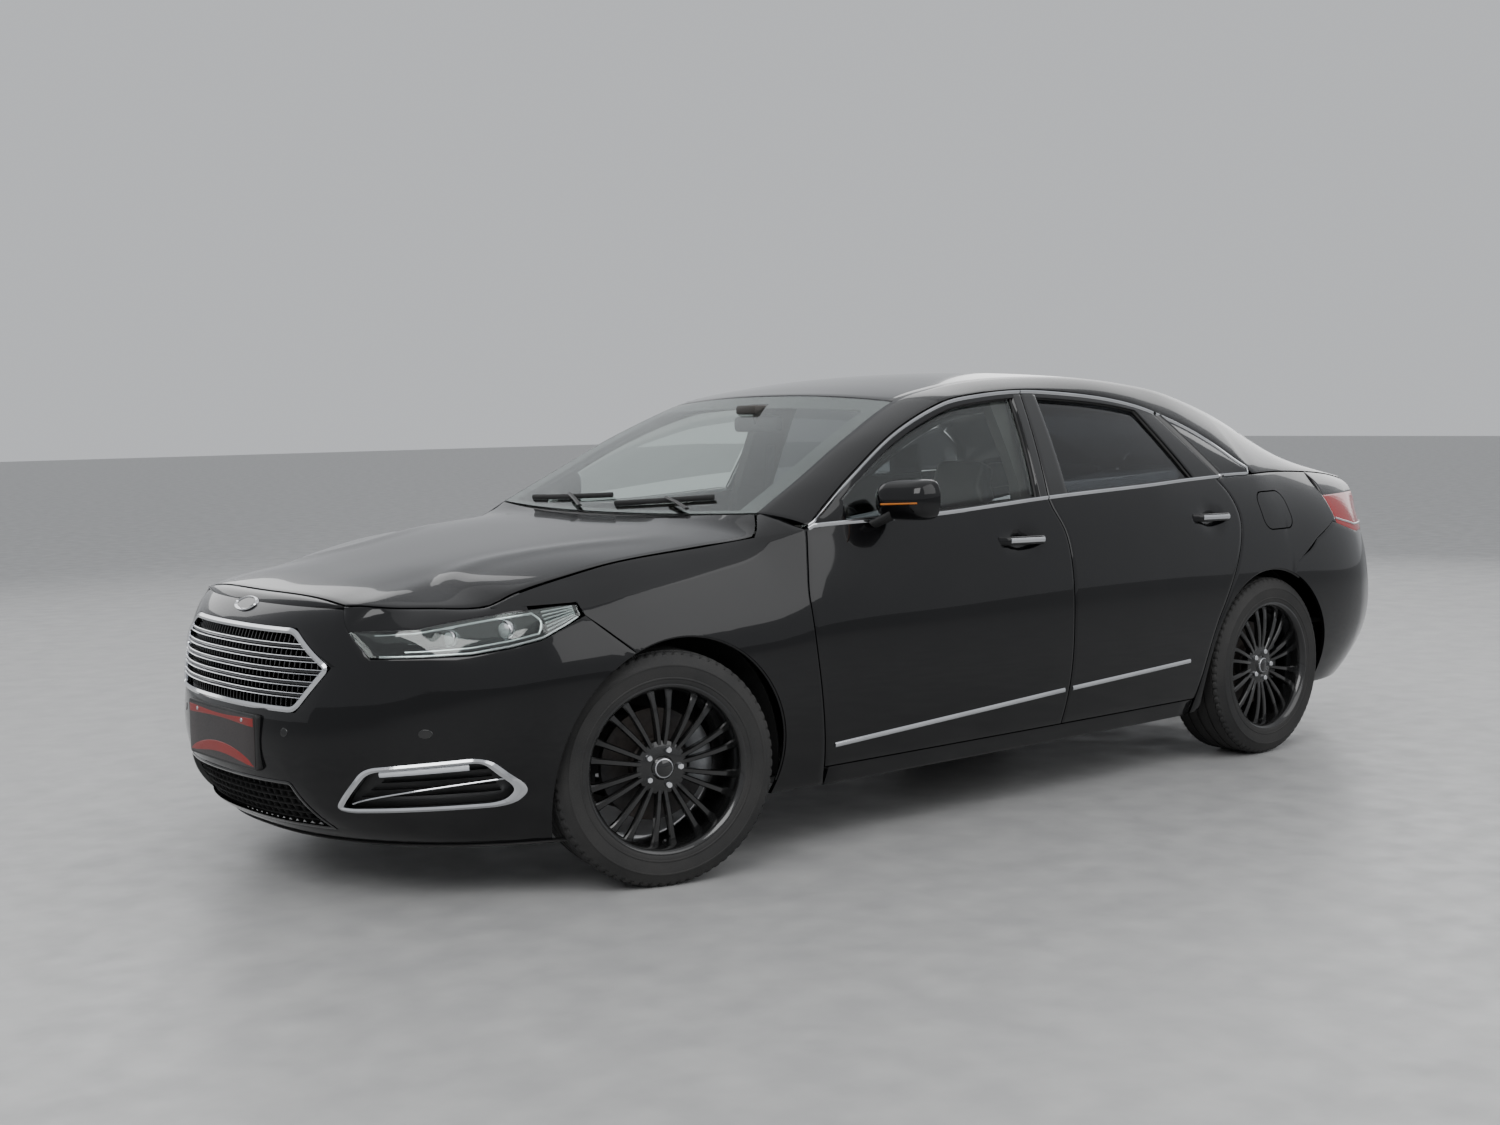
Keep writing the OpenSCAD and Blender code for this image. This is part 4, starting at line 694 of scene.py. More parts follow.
def door_grid(front: Table, rear: Table, columns: Sequence[float], low_t: float, top_t: float,
              pull: Sequence[float], fine: int = 5, dents: bool = False) -> Grid:
    """Returns a door's grid: columns from rear to front, fine rows to the belt and above it.

    Args:
        front: The shut line at its front.
        rear: The shut line at its rear.
        columns: Shares of the way from rear to front.
        low_t: Depth under the skin, below the belt.
        top_t: Depth under the skin, above the belt.
        pull: How far the outline moves in at the rear, the top and the front.
        fine: Rows between each two coarse ones.
        dents: Whether the skin dips round the door handle.

    Returns:
        Rows of points: BELT_ROWS * fine + 1 below the belt, then 2 * fine + 1 above it.
    """
    g = SHUT_GAP / 2
    grid: Grid = []
    for r in steps(BELT_ROWS * fine):
        def belt(x: float, share: float = r) -> float:
            return lerp(DOOR_BOTTOM, curve(SHOULDER, x) - BELT_GAP, share)

        row = []
        for u in columns:
            z = belt(-200)
            x0 = lerp(curve(rear, z) + g + pull[0], curve(front, z) - g - pull[2], u)
            z = belt(x0)
            x = lerp(curve(rear, z) + g + pull[0], curve(front, z) - g - pull[2], u)
            row.append(side_at(x, z, low_t + (dent(x, z) if dents else 0)))
        grid.append(row)
    for r in range(2 * fine + 1):
        row = []
        for u in columns:
            x0 = lerp(line_foot(rear) + g + pull[0] * 1.5, line_foot(front) - g - pull[2], u)
            x1 = lerp(rear[-1][1] + g + pull[0] * 1.5, front[-1][1] - g - pull[2], u)
            high = curve(RAIL, x1) - g - pull[1]
            low = min(curve(SHOULDER, x0) + BELT_GAP, high - 5)
            slope = math.hypot(1, (curve(RAIL, x1 + 30) - curve(RAIL, x1 - 30)) / 60)
            top = max(low + 2, min(high - 2, high - WINDOW_FRAME * slope))
            z = lerp(low, top, r / fine) if r <= fine else lerp(top, high, r / fine - 1)
            row.append(upper_at(lerp(x0, x1, (z - low) / (high - low)), z, top_t))
        grid.append(row)
    return grid


def door_z(r: float, x: float) -> float:
    """Returns the height that a share r up the panel's edge beside a door has."""
    rows = r * PANEL_ROWS
    return lerp(PANEL_FOOT, DOOR_BOTTOM, rows) if rows < 1 else lerp(DOOR_BOTTOM,
                                                                     curve(SHOULDER, x) - BELT_GAP,
                                                              (rows - 1) / BELT_ROWS)


def wing_grid(t: float, pull: float = 0) -> Grid:
    """Returns the front wing's grid, t deep."""
    low_table = ((1320, 204), (1560, 560), (1642, 681), (1783, 805), (1791, 842), (2010, 833))
    grid = []
    for r in steps(PANEL_ROWS * 6):
        z0 = door_z(r, 975)
        x0 = curve(LINE_A, z0) + SHUT_GAP / 2 + pull
        row = []
        for x1 in finer(WING_X, 4):
            low = broken(low_table, x1)
            top = max(curve(SHOULDER, x1) - SHUT_GAP, low + 3)
            share = min(1.0, (x1 - WING_X[0]) / (WING_X[1] - WING_X[0]))
            z = lerp(z0, lerp(low + FIT_GAP, top, r), share)
            x = lerp(x0, x1, share) if share < 1 else x1
            row.append(side_at(x, z, min(t, 3 + 0.6 * max(0.0, top - z)) if t > 0 else t))
        grid.append(row)
    return grid


def quarter_grid(t: float) -> Grid:
    """Returns the quarter panel's grid, t deep."""
    grid = []
    for r in steps(PANEL_ROWS * 6):
        z0 = door_z(r, -1230)
        row = []
        for x1 in finer(QUARTER_X, 4):
            low = broken(((-1556, 600), (-1240, 215), (-900, 205)),
                         x1) if x1 > -1556 else broken(REAR_SEAM, x1)
            share = min(1.0, (QUARTER_X[0] - x1) / (QUARTER_X[0] - QUARTER_X[1]))
            z = lerp(z0, lerp(low + FIT_GAP, curve(SHOULDER, x1) - 3, r), share)
            x = x1 + (curve(LINE_C, z) - SHUT_GAP / 2 - QUARTER_X[0]) * max(0.0,
                                                                            1 - (QUARTER_X[0] - x1) / 350)
            row.append(side_at(x, z, t))
        grid.append(row)
    return grid


def across(edge: Point, middle: tuple[float, float], square: float, n: int) -> list[Point]:
    """Returns a row across the car, crowned and bowed in the middle."""
    row = []
    for v in steps(n):
        w = 2 * v - 1
        f = 1 - abs(w) ** square
        row.append((edge[0] + (middle[0] - edge[0]) * f, edge[1] * w, edge[2] + (middle[1] - edge[2]) * f))
    return row


def cross_grid(table: Table, t: float = 0, n: int = 36, inset: float = 0.8, low: float = 0,
               high: float = 0) -> Grid:
    """Returns the grid of the roof or of a screen, t deep.

    Args:
        table: Rows of x along the roof's edge, and the middle's x and z there.
        t: How deep the grid lies.
        n: Cells across.
        inset: How far the sides stand in from the roof's edge.
        low: How far its first row moves along x.
        high: How far its last row moves back along x.
    """
    grid = []
    keys = finer([k[0] for k in table], 5)
    keys[0], keys[-1] = keys[0] + low, keys[-1] - high
    for x in keys:
        edge = roof_edge(x)
        row = across((edge[0], edge[1] - inset, edge[2]), (curve(table, x, 1), curve(table, x, 2)), 2.2, n)
        grid.append([(p[0], p[1], p[2] - t) for p in row])
    return grid


def refine(params: Sequence[Sequence[tuple[float, float]]], nr: int,
           nc: int) -> list[list[tuple[float, float]]]:
    """Adds rows and columns between those of a grid of angle and height pairs."""
    rows, cols = len(params) - 1, len(params[0]) - 1
    out = []
    for j in range(rows * nr + 1):
        j0 = min(j // nr, rows - 1)
        tj = j / nr - j0
        row = []
        for i in range(cols * nc + 1):
            i0 = min(i // nc, cols - 1)
            ti = i / nc - i0
            a, b = params[j0][i0], params[j0][i0 + 1]
            c, d = params[j0 + 1][i0], params[j0 + 1][i0 + 1]
            row.append(tuple(lerp(lerp(a[k], b[k], ti), lerp(c[k], d[k], ti), tj) for k in (0, 1)))
        out.append(row)
    return out


def skin_grid(params: Sequence[Sequence[tuple[float, float]]], place: Callable, t: float) -> Grid:
    """Places a grid of angle and height pairs on the nose or the tail, from one side to the other."""
    grid = []
    for row in params:
        half = [place(a, z, t) for a, z in row]
        grid.append(half + [(p[0], -p[1], p[2]) for p in half[-2::-1]])
    return grid


def half_grid(params: Sequence[Sequence[tuple[float, float]]], place: Callable, t: Callable | float) -> Grid:
    """Places a grid of angle and height pairs on the left half of the nose or the tail."""
    rows = len(params) - 1
    return [[place(a, z, t(j / rows) if callable(t) else t) for a, z in row] for j, row in enumerate(params)]


def nose_angles(z: float) -> list[float]:
    """Returns the plan angles of the front bumper's columns at height z."""
    a0 = nose_angle_x(broken(FRONT_SEAM, z), z)
    a1 = nose_angle_y(broken(LAMP_INNER, z), z)
    a2 = nose_angle_y(broken(GRILLE, z) if z > 500 else broken(INTAKE, z), z)
    return [lerp(a0, a1, i / 6) for i in range(6)] + [a1] + [lerp(a2, 90, i / 4) for i in range(5)]


def bumper_params() -> list[list[tuple[float, float]]]:
    """Returns the angle and height pairs of the front bumper."""
    rows = [[(a, z) for a in nose_angles(z)] for z in BUMPER_Z]
    under = nose_angles(UNDER_LAMP_Z)
    lamp = []
    for x in LAMP_COLUMNS:
        z = broken(LAMP, x, 1) - (0 if x == LAMP_COLUMNS[0] else 3)
        lamp.append((nose_angle_x(x, z), z))
    rows.append(lamp + [(a, UNDER_LAMP_Z) for a in under[6:]])
    return rows + [[(a, z) for a in nose_angles(z)] for z in BUMPER_TOP_Z]


def lamp_params() -> list[list[tuple[float, float]]]:
    """Returns the angle and height pairs of a headlamp, from its outer to its inner end."""
    rows = []
    for k in steps(2):
        row = []
        for i in range(7):
            x = LAMP_END_X if i == 6 else LAMP[0][0] if i == 0 else LAMP_COLUMNS[i]
            z = lerp(LAMP_FOOT_Z, LAMP_TOP_Z, k) if i == 6 else lerp(broken(LAMP, x, 1) + 0.5,
                                                                     broken(LAMP, x, 2) - 0.5, k)
            a = nose_angle_y(broken(LAMP_INNER, z) + 2.5, z) if i == 6 else nose_angle_x(x, z)
            row.append((a, z))
        rows.append(row)
    return rows


def tail_skin(a: float, z: float, t: float = 0) -> Point:
    """Returns a point of the tail at plan angle a, or of the side in front of it where a is negative."""
    return side_at(-TAIL_START - a * 10, z, t) if a < 0 else tail_point(a, z, t)


def tail_angles(z: float) -> list[float]:
    """Returns the plan angles of the rear bumper's columns at height z."""
    a1 = tail_angle_y(LID_HALF_WIDTH + 8, z)
    return [TAIL_FRONT_ANGLE] + [tail_angle_x(x, z) for x in TAIL_COLUMNS] + [lerp(a1, 90, i / 4)
                                                                              for i in range(5)]


def rear_bumper_params() -> list[list[tuple[float, float]]]:
    """Returns the angle and height pairs of the rear bumper."""
    rows = [[(a, z) for a in tail_angles(z)] for z in TAIL_Z]
    for k in (0, 0.5, 1):
        row = [(TAIL_FRONT_ANGLE, TAIL_SHELF + 2 * k)]
        for i in range(11):
            x = TAIL_COLUMNS[i] if i < 6 else TAIL_LAMP_END_X
            z = lerp(TAIL_SHELF, broken(REAR_SEAM, x) - 2, k)
            row.append((tail_angles(z)[i + 1], z))
        rows.append(row)
    return rows


def tail_lamp_params() -> list[list[tuple[float, float]]]:
    """Returns the angle and height pairs of a tail lamp, from the side to the boot lid."""
    rows = []
    for k in steps(2):
        row = []
        for i in range(6):
            x = TAIL_LAMP_X[i] if i < 4 else TAIL_LAMP_END_X
            z = lerp(broken(REAR_SEAM, x) - 1.5, TAIL_LAMP_TOP, k)
            last = tail_angle_x(TAIL_LAMP_X[3], z)
            a = tail_angle_x(x, z) if i < 4 else lerp(last, tail_angle_y(LID_HALF_WIDTH + 8, z), (i - 3) / 2)
            row.append((a, z))
        rows.append(row)
    return rows


def bonnet_point(u: float, w: float) -> Point:
    """Returns a point of the bonnet: u from the windscreen to the nose, w across from -1 to 1."""
    x0 = lerp(BONNET_SIDE[0][0], BONNET_SIDE[-1][0], u)
    x = x0 + lerp(BONNET_BOW, BONNET_FRONT_BOW, u) * (1 - w * w)
    z0 = curve(BONNET_SIDE, x0)
    y = curve(BONNET_SIDE, x0, 2) * w
    return (x, y, z0 + (curve(BONNET_TOP, x) - z0) * (1 - abs(w) ** BONNET_SQUARE) + crease(x, abs(y)))


def crease(x: float, y: float) -> float:
    """Returns how far the bonnet's pressed fold lifts its skin."""
    if not CREASE[0][0] - 120 < x < CREASE[-1][0] + 60:
        return 0.0
    ends = min(1.0, (x - CREASE[0][0] + 120) / 240, (CREASE[-1][0] + 60 - x) / 120)
    return 5.0 * ends * max(0.0, 1 - abs(y - curve(CREASE, x)) / 85) ** 1.4


def side_name(left: bool) -> str:
    """Returns the word for a side of the car."""
    return "left" if left else "right"


@dataclass
class FixedPanels:
    """The wings, quarter panels, side frames, roof and rocker panels."""

    lip: float = 4.0

    def build(self) -> None:
        """Builds every fixed painted panel."""
        for left in (True, False):
            self.wing(left)
            self.quarter(left)
            self.side_frame(left)
            self.rocker(left)
            self.arch_lips(left)
        self.roof()

    def wing(self, left: bool) -> None:
        """Builds one front wing with its corner piece."""
        side = side_name(left)
        piece = shell_piece(f"{side}_wing", wing_grid(0), wing_grid(SKIN, 2), PAINT, ROOT, "body_paint", left)
        s = 1 if left else -1
        cut(piece, [drum(FRONT_ARCH_X, ARCH_Z, s * ARCH_INNER, s * ARCH_OUTER, ARCH_RADIUS)])
        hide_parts("front_wings")
        back = ((957, 846, 1001), (997, 780.2, 1034), (1036, 728.2, 1050))
        front = ((1122, 799, 984), (1087, 771, 1007), (1046, 724, 1047))
        outer = [[between(a, b, t) for a, b in zip(back, front)] for t in steps(4)]
        inner = [[(p[0], p[1] - 4, p[2] - 12) for p in row] for row in outer]
        shell_piece(f"{side}_wing_corner", outer, inner, PAINT, ROOT, "body_paint", left)

    def quarter(self, left: bool) -> None:
        """Builds one quarter panel, with the fuel flap's opening on the left."""
        side = side_name(left)
        piece = shell_piece(f"{side}_quarter_panel", quarter_grid(0), quarter_grid(SKIN), PAINT, ROOT,
                            "body_paint",
                            left)
        s = 1 if left else -1
        tools = [drum(REAR_AXLE, ARCH_Z, s * ARCH_INNER, s * ARCH_OUTER, ARCH_RADIUS)]
        if left:
            tools.append(flap_prism(SHUT_GAP))
        cut(piece, tools)
        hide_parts("quarter_panels")

    def side_frame(self, left: bool) -> None:
        """Builds one side frame, from the deck over the doors to the windscreen's foot."""
        fx = [k[0] for k in FRAME_KEYS]
        outer: Grid = [[] for _ in range(7)]
        inner: Grid = [[] for _ in range(7)]
        for x in finer(fx, 4):
            over = x > -1466
            low = Vector((x, curve(RAIL if over else SHOULDER, x, 2), curve(RAIL if over else SHOULDER, x, 1)
                          + SHUT_GAP / 2))
            top = Vector(roof_edge(curve(FRAME_KEYS, x)))
            depth, deep = (88 if -520 < x < 190 else 40), (2 if x < -1466 else 18)
            ends = (low - Vector((0, depth, 0)), low.lerp(top, 0.5) - Vector((0, depth / 2 + 8, 22)),
                    top - Vector((0, deep, 40)))
            for j, s in enumerate(steps(6)):
                outer[j].append(tuple(low.lerp(top, s) + Vector((0, 5, 5)) * (4 * s * (1 - s))))
                inner[j].append(tuple(ends[0] * ((1 - s) * (1 - 2 * s)) + ends[1] * (4 * s * (1 - s))
                                      + ends[2] * (s * (2 * s - 1))))
        piece = shell_piece(f"{side_name(left)}_side_frame", outer, inner, PAINT, ROOT, "body_paint", left)
        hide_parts("side_frames")

    def rocker(self, left: bool) -> None:
        """Builds one rocker panel."""
        xs, zs = finer((-962, -500, 0, 500, 900), 6), finer((198, 228, DOOR_BOTTOM - SHUT_GAP), 3)
        piece = shell_piece(f"{side_name(left)}_rocker_panel", [[side_at(x, z, 3) for x in xs] for z in zs],
                            [[(x, 712.5, z) for x in xs] for z in zs], PAINT, ROOT, "body_paint", left)
        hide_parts("rocker_panels")

    def arch_lips(self, left: bool) -> None:
        """Builds the rolled lips round the wheel arches of one side."""
        for where, cx, a0, a1 in (("front", FRONT_ARCH_X, 54, 192), ("rear", REAR_AXLE, -12, 118)):
            path = []
            for k in steps(48):
                a = math.radians(lerp(a0, a1, k))
                x, z = cx + (ARCH_RADIUS - 1) * math.cos(a), ARCH_Z + (ARCH_RADIUS - 1) * math.sin(a)
                path.append(side_at(x, z, 7))
            tube_piece(f"{side_name(left)}_{where}_arch_lip", flipped(path, left), (6, self.lip), PAINT, ROOT,
                       "body_paint", up=(0, 1, 0))

    def roof(self) -> None:
        """Builds the roof as one gloss black panel over a lining."""
        grid = cross_grid(ROOF)
        inner = [[(p[0], p[1] * 0.985, p[2] - 24 - 16 * abs(p[1] / row[0][1]) ** 6) for p in row]
                 for row in grid]
        piece = shell_piece("roof_panel", grid, inner, GLOSS_BLACK, ROOT, "body_paint", edge=2)
        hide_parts("roof_panel")
        lining = [[(p[0], p[1] * 0.95, p[2] - 44) for p in row] for row in grid]
        shell_piece("headlining", lining, [[(p[0], p[1], p[2] - 6) for p in row] for row in lining],
                    HEADLINER, ROOT,
                    "cabin_plastic")


def flap_prism(gap: float) -> Shape:
    """Returns the fuel flap's outline, wider by gap, as a closed prism through the left side."""
    hx, hz, r = FLAP_SIZE[0] / 2 + gap, FLAP_SIZE[1] / 2 + gap, FLAP_CORNER + gap
    loop = []
    for q in range(4):
        cx, cz = (hx - r) * (1, -1, -1, 1)[q], (hz - r) * (1, 1, -1, -1)[q]
        for k in range(13):
            a = math.radians(90 * q + 7.5 * k)
            loop.append((FLAP_X + cx + r * math.cos(a), FLAP_Z + cz + r * math.sin(a)))
    n = len(loop)
    verts = [(x, y, z) for y in (700, 1000) for x, z in loop]
    faces = [[k, (k + 1) % n, n + (k + 1) % n, n + k] for k in range(n)]
    return verts, faces + [list(range(n))[::-1], list(range(n, 2 * n))]


@dataclass
class Door:
    """One side door: its skin, glass, chrome, handle and inner trim."""

    left: bool
    is_front: bool
    fine: int = 5
    chrome_half: tuple[float, float] = (3.0, 8.0)

    def __post_init__(self) -> None:
        """Works out the door's names, lines and window cells."""
        self.label = f"{'front' if self.is_front else 'rear'}_{side_name(self.left)}"
        self.body = f"{self.label}_door"
        self.lines = (LINE_A, LINE_B) if self.is_front else (LINE_B, LINE_C)
        coarse = FRONT_COLUMNS if self.is_front else REAR_COLUMNS
        self.columns = finer(coarse, self.fine)
        first, last = (1, 9) if self.is_front else (2, 8)
        self.window = [BELT_ROWS * self.fine + 1, (BELT_ROWS + 1) * self.fine + 1, first * self.fine,
                       last * self.fine]

    def grid(self, low_t: float, top_t: float, pull: Sequence[float] = (0, 0, 0),
             dents: bool = False) -> Grid:
        """Returns this door's grid at a depth."""
        return door_grid(*self.lines, self.columns, low_t, top_t, pull, self.fine, dents)

    def build(self) -> None:
        """Builds the whole door."""
        outer = self.grid(0, 0, dents=True)
        inner = self.grid(DOOR_THICK, FRAME_THICK, (10, 7, 2))
        skin = shell_piece(self.body + "_skin", outer, inner, PAINT, self.body, "body_paint", self.left,
                           [self.window])
        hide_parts(self.body)
        self.glass(outer, inner)
        self.trim()
        self.chrome(outer)
        self.handle()

    def glass(self, outer: Grid, inner: Grid) -> None:
        """Builds the window glass and the seal round it."""
        j0, j1, i0, i1 = self.window
        panes = []
        for d in (17.5, 22.5):
            panes.append([[between(outer[j][i], inner[j][i], d / FRAME_THICK) for i in range(i0, i1 + 1)]
                          for j in range(j0, j1 + 1)])
        pane = shell_piece(f"{self.label}_window", panes[0], panes[1],
                           CLEAR_GLASS if self.is_front else TINTED_GLASS,
                           self.body, "clear_glass" if self.is_front else "tinted_glass", self.left)
        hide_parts(f"{self.label}_glass")
        near = panes[0]
        loop = near[0] + [row[-1] for row in near[1:]] + near[-1][-2::-1] + [row[0] for row in near[-2:0:-1]]
        tube_piece(f"{self.label}_window_seal", flipped([(p[0], p[1] + 3, p[2]) for p in loop], self.left),
                   (5, 5),
                   SEAL, self.body, "body_paint", closed=True, up=(0, 1, 0), sides=8)

    def trim(self) -> None:
        """Builds the inner door card, with its armrest."""
        card = self.grid(DOOR_THICK + 0.5, FRAME_THICK + 0.5, (16, 12, 12))[:BELT_ROWS * self.fine + 1]
        deep = self.grid(DOOR_THICK + 9, FRAME_THICK + 9, (20, 12, 16))[:BELT_ROWS * self.fine + 1]
        shell_piece(f"{self.label}_door_card", card, deep, CABIN, self.body, "cabin_plastic", self.left)
        mid = curve(self.lines[0], 640) * 0.5 + curve(self.lines[1], 640) * 0.5
        path = [side_at(mid + dx, 650 + 0.05 * dx, DOOR_THICK + 26) for dx in range(-230, 231, 46)]
        tube_piece(f"{self.label}_armrest", flipped(path, self.left), (26, 22), LEATHER, self.body,
                   "seat_leather",
                   up=(0, 0, 1), sides=14)

    def chrome(self, outer: Grid) -> None:
        """Builds the chrome over and under the window, and the gloss black pillar trim."""
        top = [between(a, b, 0.28) for a, b in zip(outer[-1], outer[-self.fine - 1])]
        belt = outer[BELT_ROWS * self.fine + 1]
        low = [(p[0], p[1] + 1.5, p[2] - 4) for p in belt]
        for name, path in (("upper", top), ("belt", low)):
            tube_piece(f"{self.label}_{name}_chrome",
                       flipped([(p[0], p[1] + 1, p[2]) for p in path], self.left),
                       self.chrome_half, CHROME, self.body, "chrome_trim", up=(0, 0.25, 1), sides=12)
        cols = (0, self.window[2]) if self.is_front else (self.window[3], len(self.columns) - 1)
        rows = range(self.window[0], len(outer) - self.fine + 2)
        face = [[(p[0], p[1] + 1.6, p[2]) for p in outer[j][cols[0]:cols[1] + 1]] for j in rows]
        back = [[(p[0], p[1] - 1, p[2]) for p in outer[j][cols[0]:cols[1] + 1]] for j in rows]
        shell_piece(f"{self.label}_pillar_trim", face, back, GLOSS_BLACK, self.body, "body_paint", self.left,
                    edge=0.6)

    def handle(self) -> None:
        """Builds the grip over its dent, with a chrome strip along it."""
        hx, hz = HANDLES[0 if self.is_front else 1]
        path, strip = [], []
        for k in steps(24):
            dx = lerp(-104, 118, k)
            out = 23 * min(1.0, 2.6 * math.sin(math.pi * k))
            p = side_at(hx + dx, hz + 0.02 * dx, 6 - out)
            path.append(p)
            if 0.1 <= k <= 0.9:
                strip.append((p[0], p[1] + 7.5, p[2] + 1))
        tube_piece(f"{self.label}_handle", flipped(path, self.left), (8, 15), PAINT, self.body, "body_paint",
                   sides=16)
        tube_piece(f"{self.label}_handle_strip", flipped(strip, self.left), (3, 8), CHROME, self.body,
                   "chrome_trim",
                   sides=12)


@dataclass
class Glazing:
    """The windscreen, rear screen and quarter windows, with their black edges."""

    glass: float = 5.0

    def build(self) -> None:
        """Builds the fixed glass."""
        for name, table, finish, slot in (("windscreen", SCREEN, CLEAR_GLASS, "clear_glass"),
                                          ("rear_screen", REAR_SCREEN, TINTED_GLASS, "tinted_glass")):
            grid, under = cross_grid(table), cross_grid(table, self.glass)
            piece = shell_piece(name, grid, under, finish, ROOT, slot, edge=0)
            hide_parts("fixed_glass")
            face, back = cross_grid(table, self.glass + 0.6), cross_grid(table, self.glass + 2)
            rows, cols = len(face) - 1, len(face[0]) - 1
            hole = [3, rows - 2, 2, cols - 2] if name == "windscreen" else [2, rows - 2, 2, cols - 2]
            shell_piece(name + "_edge_band", face, back, GLOSS_BLACK, ROOT, "body_paint", gaps=[hole], edge=0)
        for left in (True, False):
            self.quarter_window(left)

    def quarter_window(self, left: bool) -> None:
        """Builds one quarter window and the chrome round it."""
        def at(x0: float, k: float, t: float) -> Point:
            low = curve(SHOULDER, x0) + 2.5
            z = lerp(low, max(curve(RAIL, x0) - 3, low + 3), k)
            return upper_at(min(x0, line_upper(LINE_C, z) - SHUT_GAP), z, t)

        xs, ks = finer(QUARTER_GLASS_X, 5), steps(8)
        side = side_name(left)
        piece = shell_piece(f"{side}_quarter_window", [[at(x, k, 2) for x in xs] for k in ks],
                            [[at(x, k, 7) for x in xs] for k in ks], DARK_GLASS, ROOT, "tinted_glass", left,
                            edge=0.8)
        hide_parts("fixed_glass")
        top = [at(x, 0.985, -1.5) for x in xs]
        low = [at(x, 0.02, -1.5) for x in xs]
        tube_piece(f"{side}_quarter_chrome", flipped(top[::-1] + low[1:], left), (3, 6.5), CHROME, ROOT,
                   "chrome_trim",
                   up=(0, 0.25, 1), sides=12)
        post = [(at(-1030, k, 2)[0] - 12, at(-1030, k, 2)[1] + 2.5, at(-1030, k, 2)[2]) for k in steps(12)]
        tube_piece(f"{side}_quarter_post", flipped(post, left), (14, 2), GLOSS_BLACK, ROOT, "body_paint",
                   up=(0, 1, 0), sides=12)


@dataclass
class Bonnet:
    """The bonnet on its hinge."""

    rows: int = 48
    cells: int = 56

    def build(self) -> None:
        """Builds the skin with its two pressed folds."""
        g = SHUT_GAP / 2

        def grid(t: float, tuck: float) -> Grid:
            out = []
            for u in steps(self.rows):
                row = []
                for v in steps(self.cells):
                    w = 2 * v - 1
                    x, y, z = bonnet_point(u, w)
                    x += -g - tuck if u == 1 else g + tuck if u == 0 else 0
                    y -= math.copysign(g + tuck, w) if abs(w) == 1 else 0
                    row.append((x, y, z - t))
                out.append(row)
            return out

        piece = shell_piece("bonnet_panel", grid(0, 0), grid(LID_THICK, BONNET_TUCK), PAINT, "bonnet",
                            "body_paint",
                            edge=2)
        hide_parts("bonnet")


@dataclass
class BootLid:
    """The boot lid on its hinge, with the chrome bar across it."""

    fine: int = 5

    def rows(self, inset: float) -> Grid:
        """Returns the lid's grid, an inset deep."""
        middle = [(i, *p) for i, p in enumerate(LID_MIDDLE)]
        sides = [(i, *p) for i, p in enumerate(LID_SIDE)]
        grid = []
        for i in finer(range(9), self.fine):
            edge = (curve(sides, i, 1), curve(sides, i, 2) - SHUT_GAP, curve(sides, i, 3))
            row = across(edge, (curve(middle, i, 1), curve(middle, i, 2)), 2.2, 40)
            dx = inset * min(1.0, max(0.0, (i - 2) * 0.6))
            dz = inset * min(1.0, max(0.0, (5 - i) / 2))
            grid.append([(p[0] + dx, p[1], p[2] - dz) for p in row])
        return grid

    def build(self) -> None:
        """Builds the lid's skin and its chrome bar."""
        piece = shell_piece("boot_lid_panel", self.rows(0), self.rows(LID_THICK), PAINT, "boot_lid",
                            "body_paint",
                            edge=2)
        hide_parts("boot_lid")
        proud = self.rows(-4)
        bar = [p for p in proud[int(4.9 * self.fine)] if abs(p[1]) < 560]
        tube_piece("boot_lid_chrome", bar, (3, 9), CHROME, "boot_lid", "chrome_trim", sides=12)


def build_flap() -> None:
    """Builds the fuel flap from the quarter panel's own skin."""
    piece = shell_piece("fuel_flap_panel", quarter_grid(0), quarter_grid(SKIN), PAINT, "fuel_flap",
                        "body_paint")
    keep(piece, flap_prism(0))
    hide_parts("fuel_flap")


def keep(piece: bpy.types.Object, tool: Shape) -> None:
    """Keeps only the part of a piece that lies in a closed shape."""
    cut(piece, [tool], "INTERSECT")


# ---- Nose and tail ----

Loop = list[tuple[float, float]]


def rounded(loop: Loop, radius: float, n: int = 5) -> Loop:
    """Rounds the corners of a closed outline of points."""
    out: Loop = []
    for k, p in enumerate(loop):
        a, b = Vector(loop[k - 1]), Vector(loop[(k + 1) % len(loop)])
        c = Vector(p)
        ra = min(radius, (a - c).length * 0.45)
        rb = min(radius, (b - c).length * 0.45)
        s, e = c + (a - c).normalized() * ra, c + (b - c).normalized() * rb
        for t in steps(n):
            q = s.lerp(c, t).lerp(c.lerp(e, t), t)
            out.append((q.x, q.y))
    return dense(out)


def dense(loop: Loop, longest: float = 24.0) -> Loop:
    """Splits the long edges of a closed outline, so that it can follow a curved surface."""
    out: Loop = []
    for a, b in zip(loop, loop[1:] + loop[:1]):
        n = max(1, math.ceil(math.dist(a, b) / longest))
        out += [(lerp(a[0], b[0], k / n), lerp(a[1], b[1], k / n)) for k in range(n)]
    return out


def grown(loop: Loop, d: float) -> Loop:
    """Moves a closed outline outwards by d, or inwards where d is negative."""
    area = sum(a[0] * b[1] - b[0] * a[1] for a, b in zip(loop, loop[1:] + loop[:1]))
    s = 1 if area > 0 else -1
    out = []
    for k, p in enumerate(loop):
        a, b = Vector(loop[k - 1]), Vector(loop[(k + 1) % len(loop)])
        along = (b - a).normalized()
        out.append((p[0] + along.y * d * s, p[1] - along.x * d * s))
    return out


def circle(cx: float, cy: float, rx: float, n: int, ry: float | None = None) -> Loop:
    """Returns an outline of n points round a middle, oval where ry is given."""
    turns = [2 * math.pi * k / n for k in range(n)]
    return [(cx + rx * math.cos(a), cy + (rx if ry is None else ry) * math.sin(a)) for a in turns]


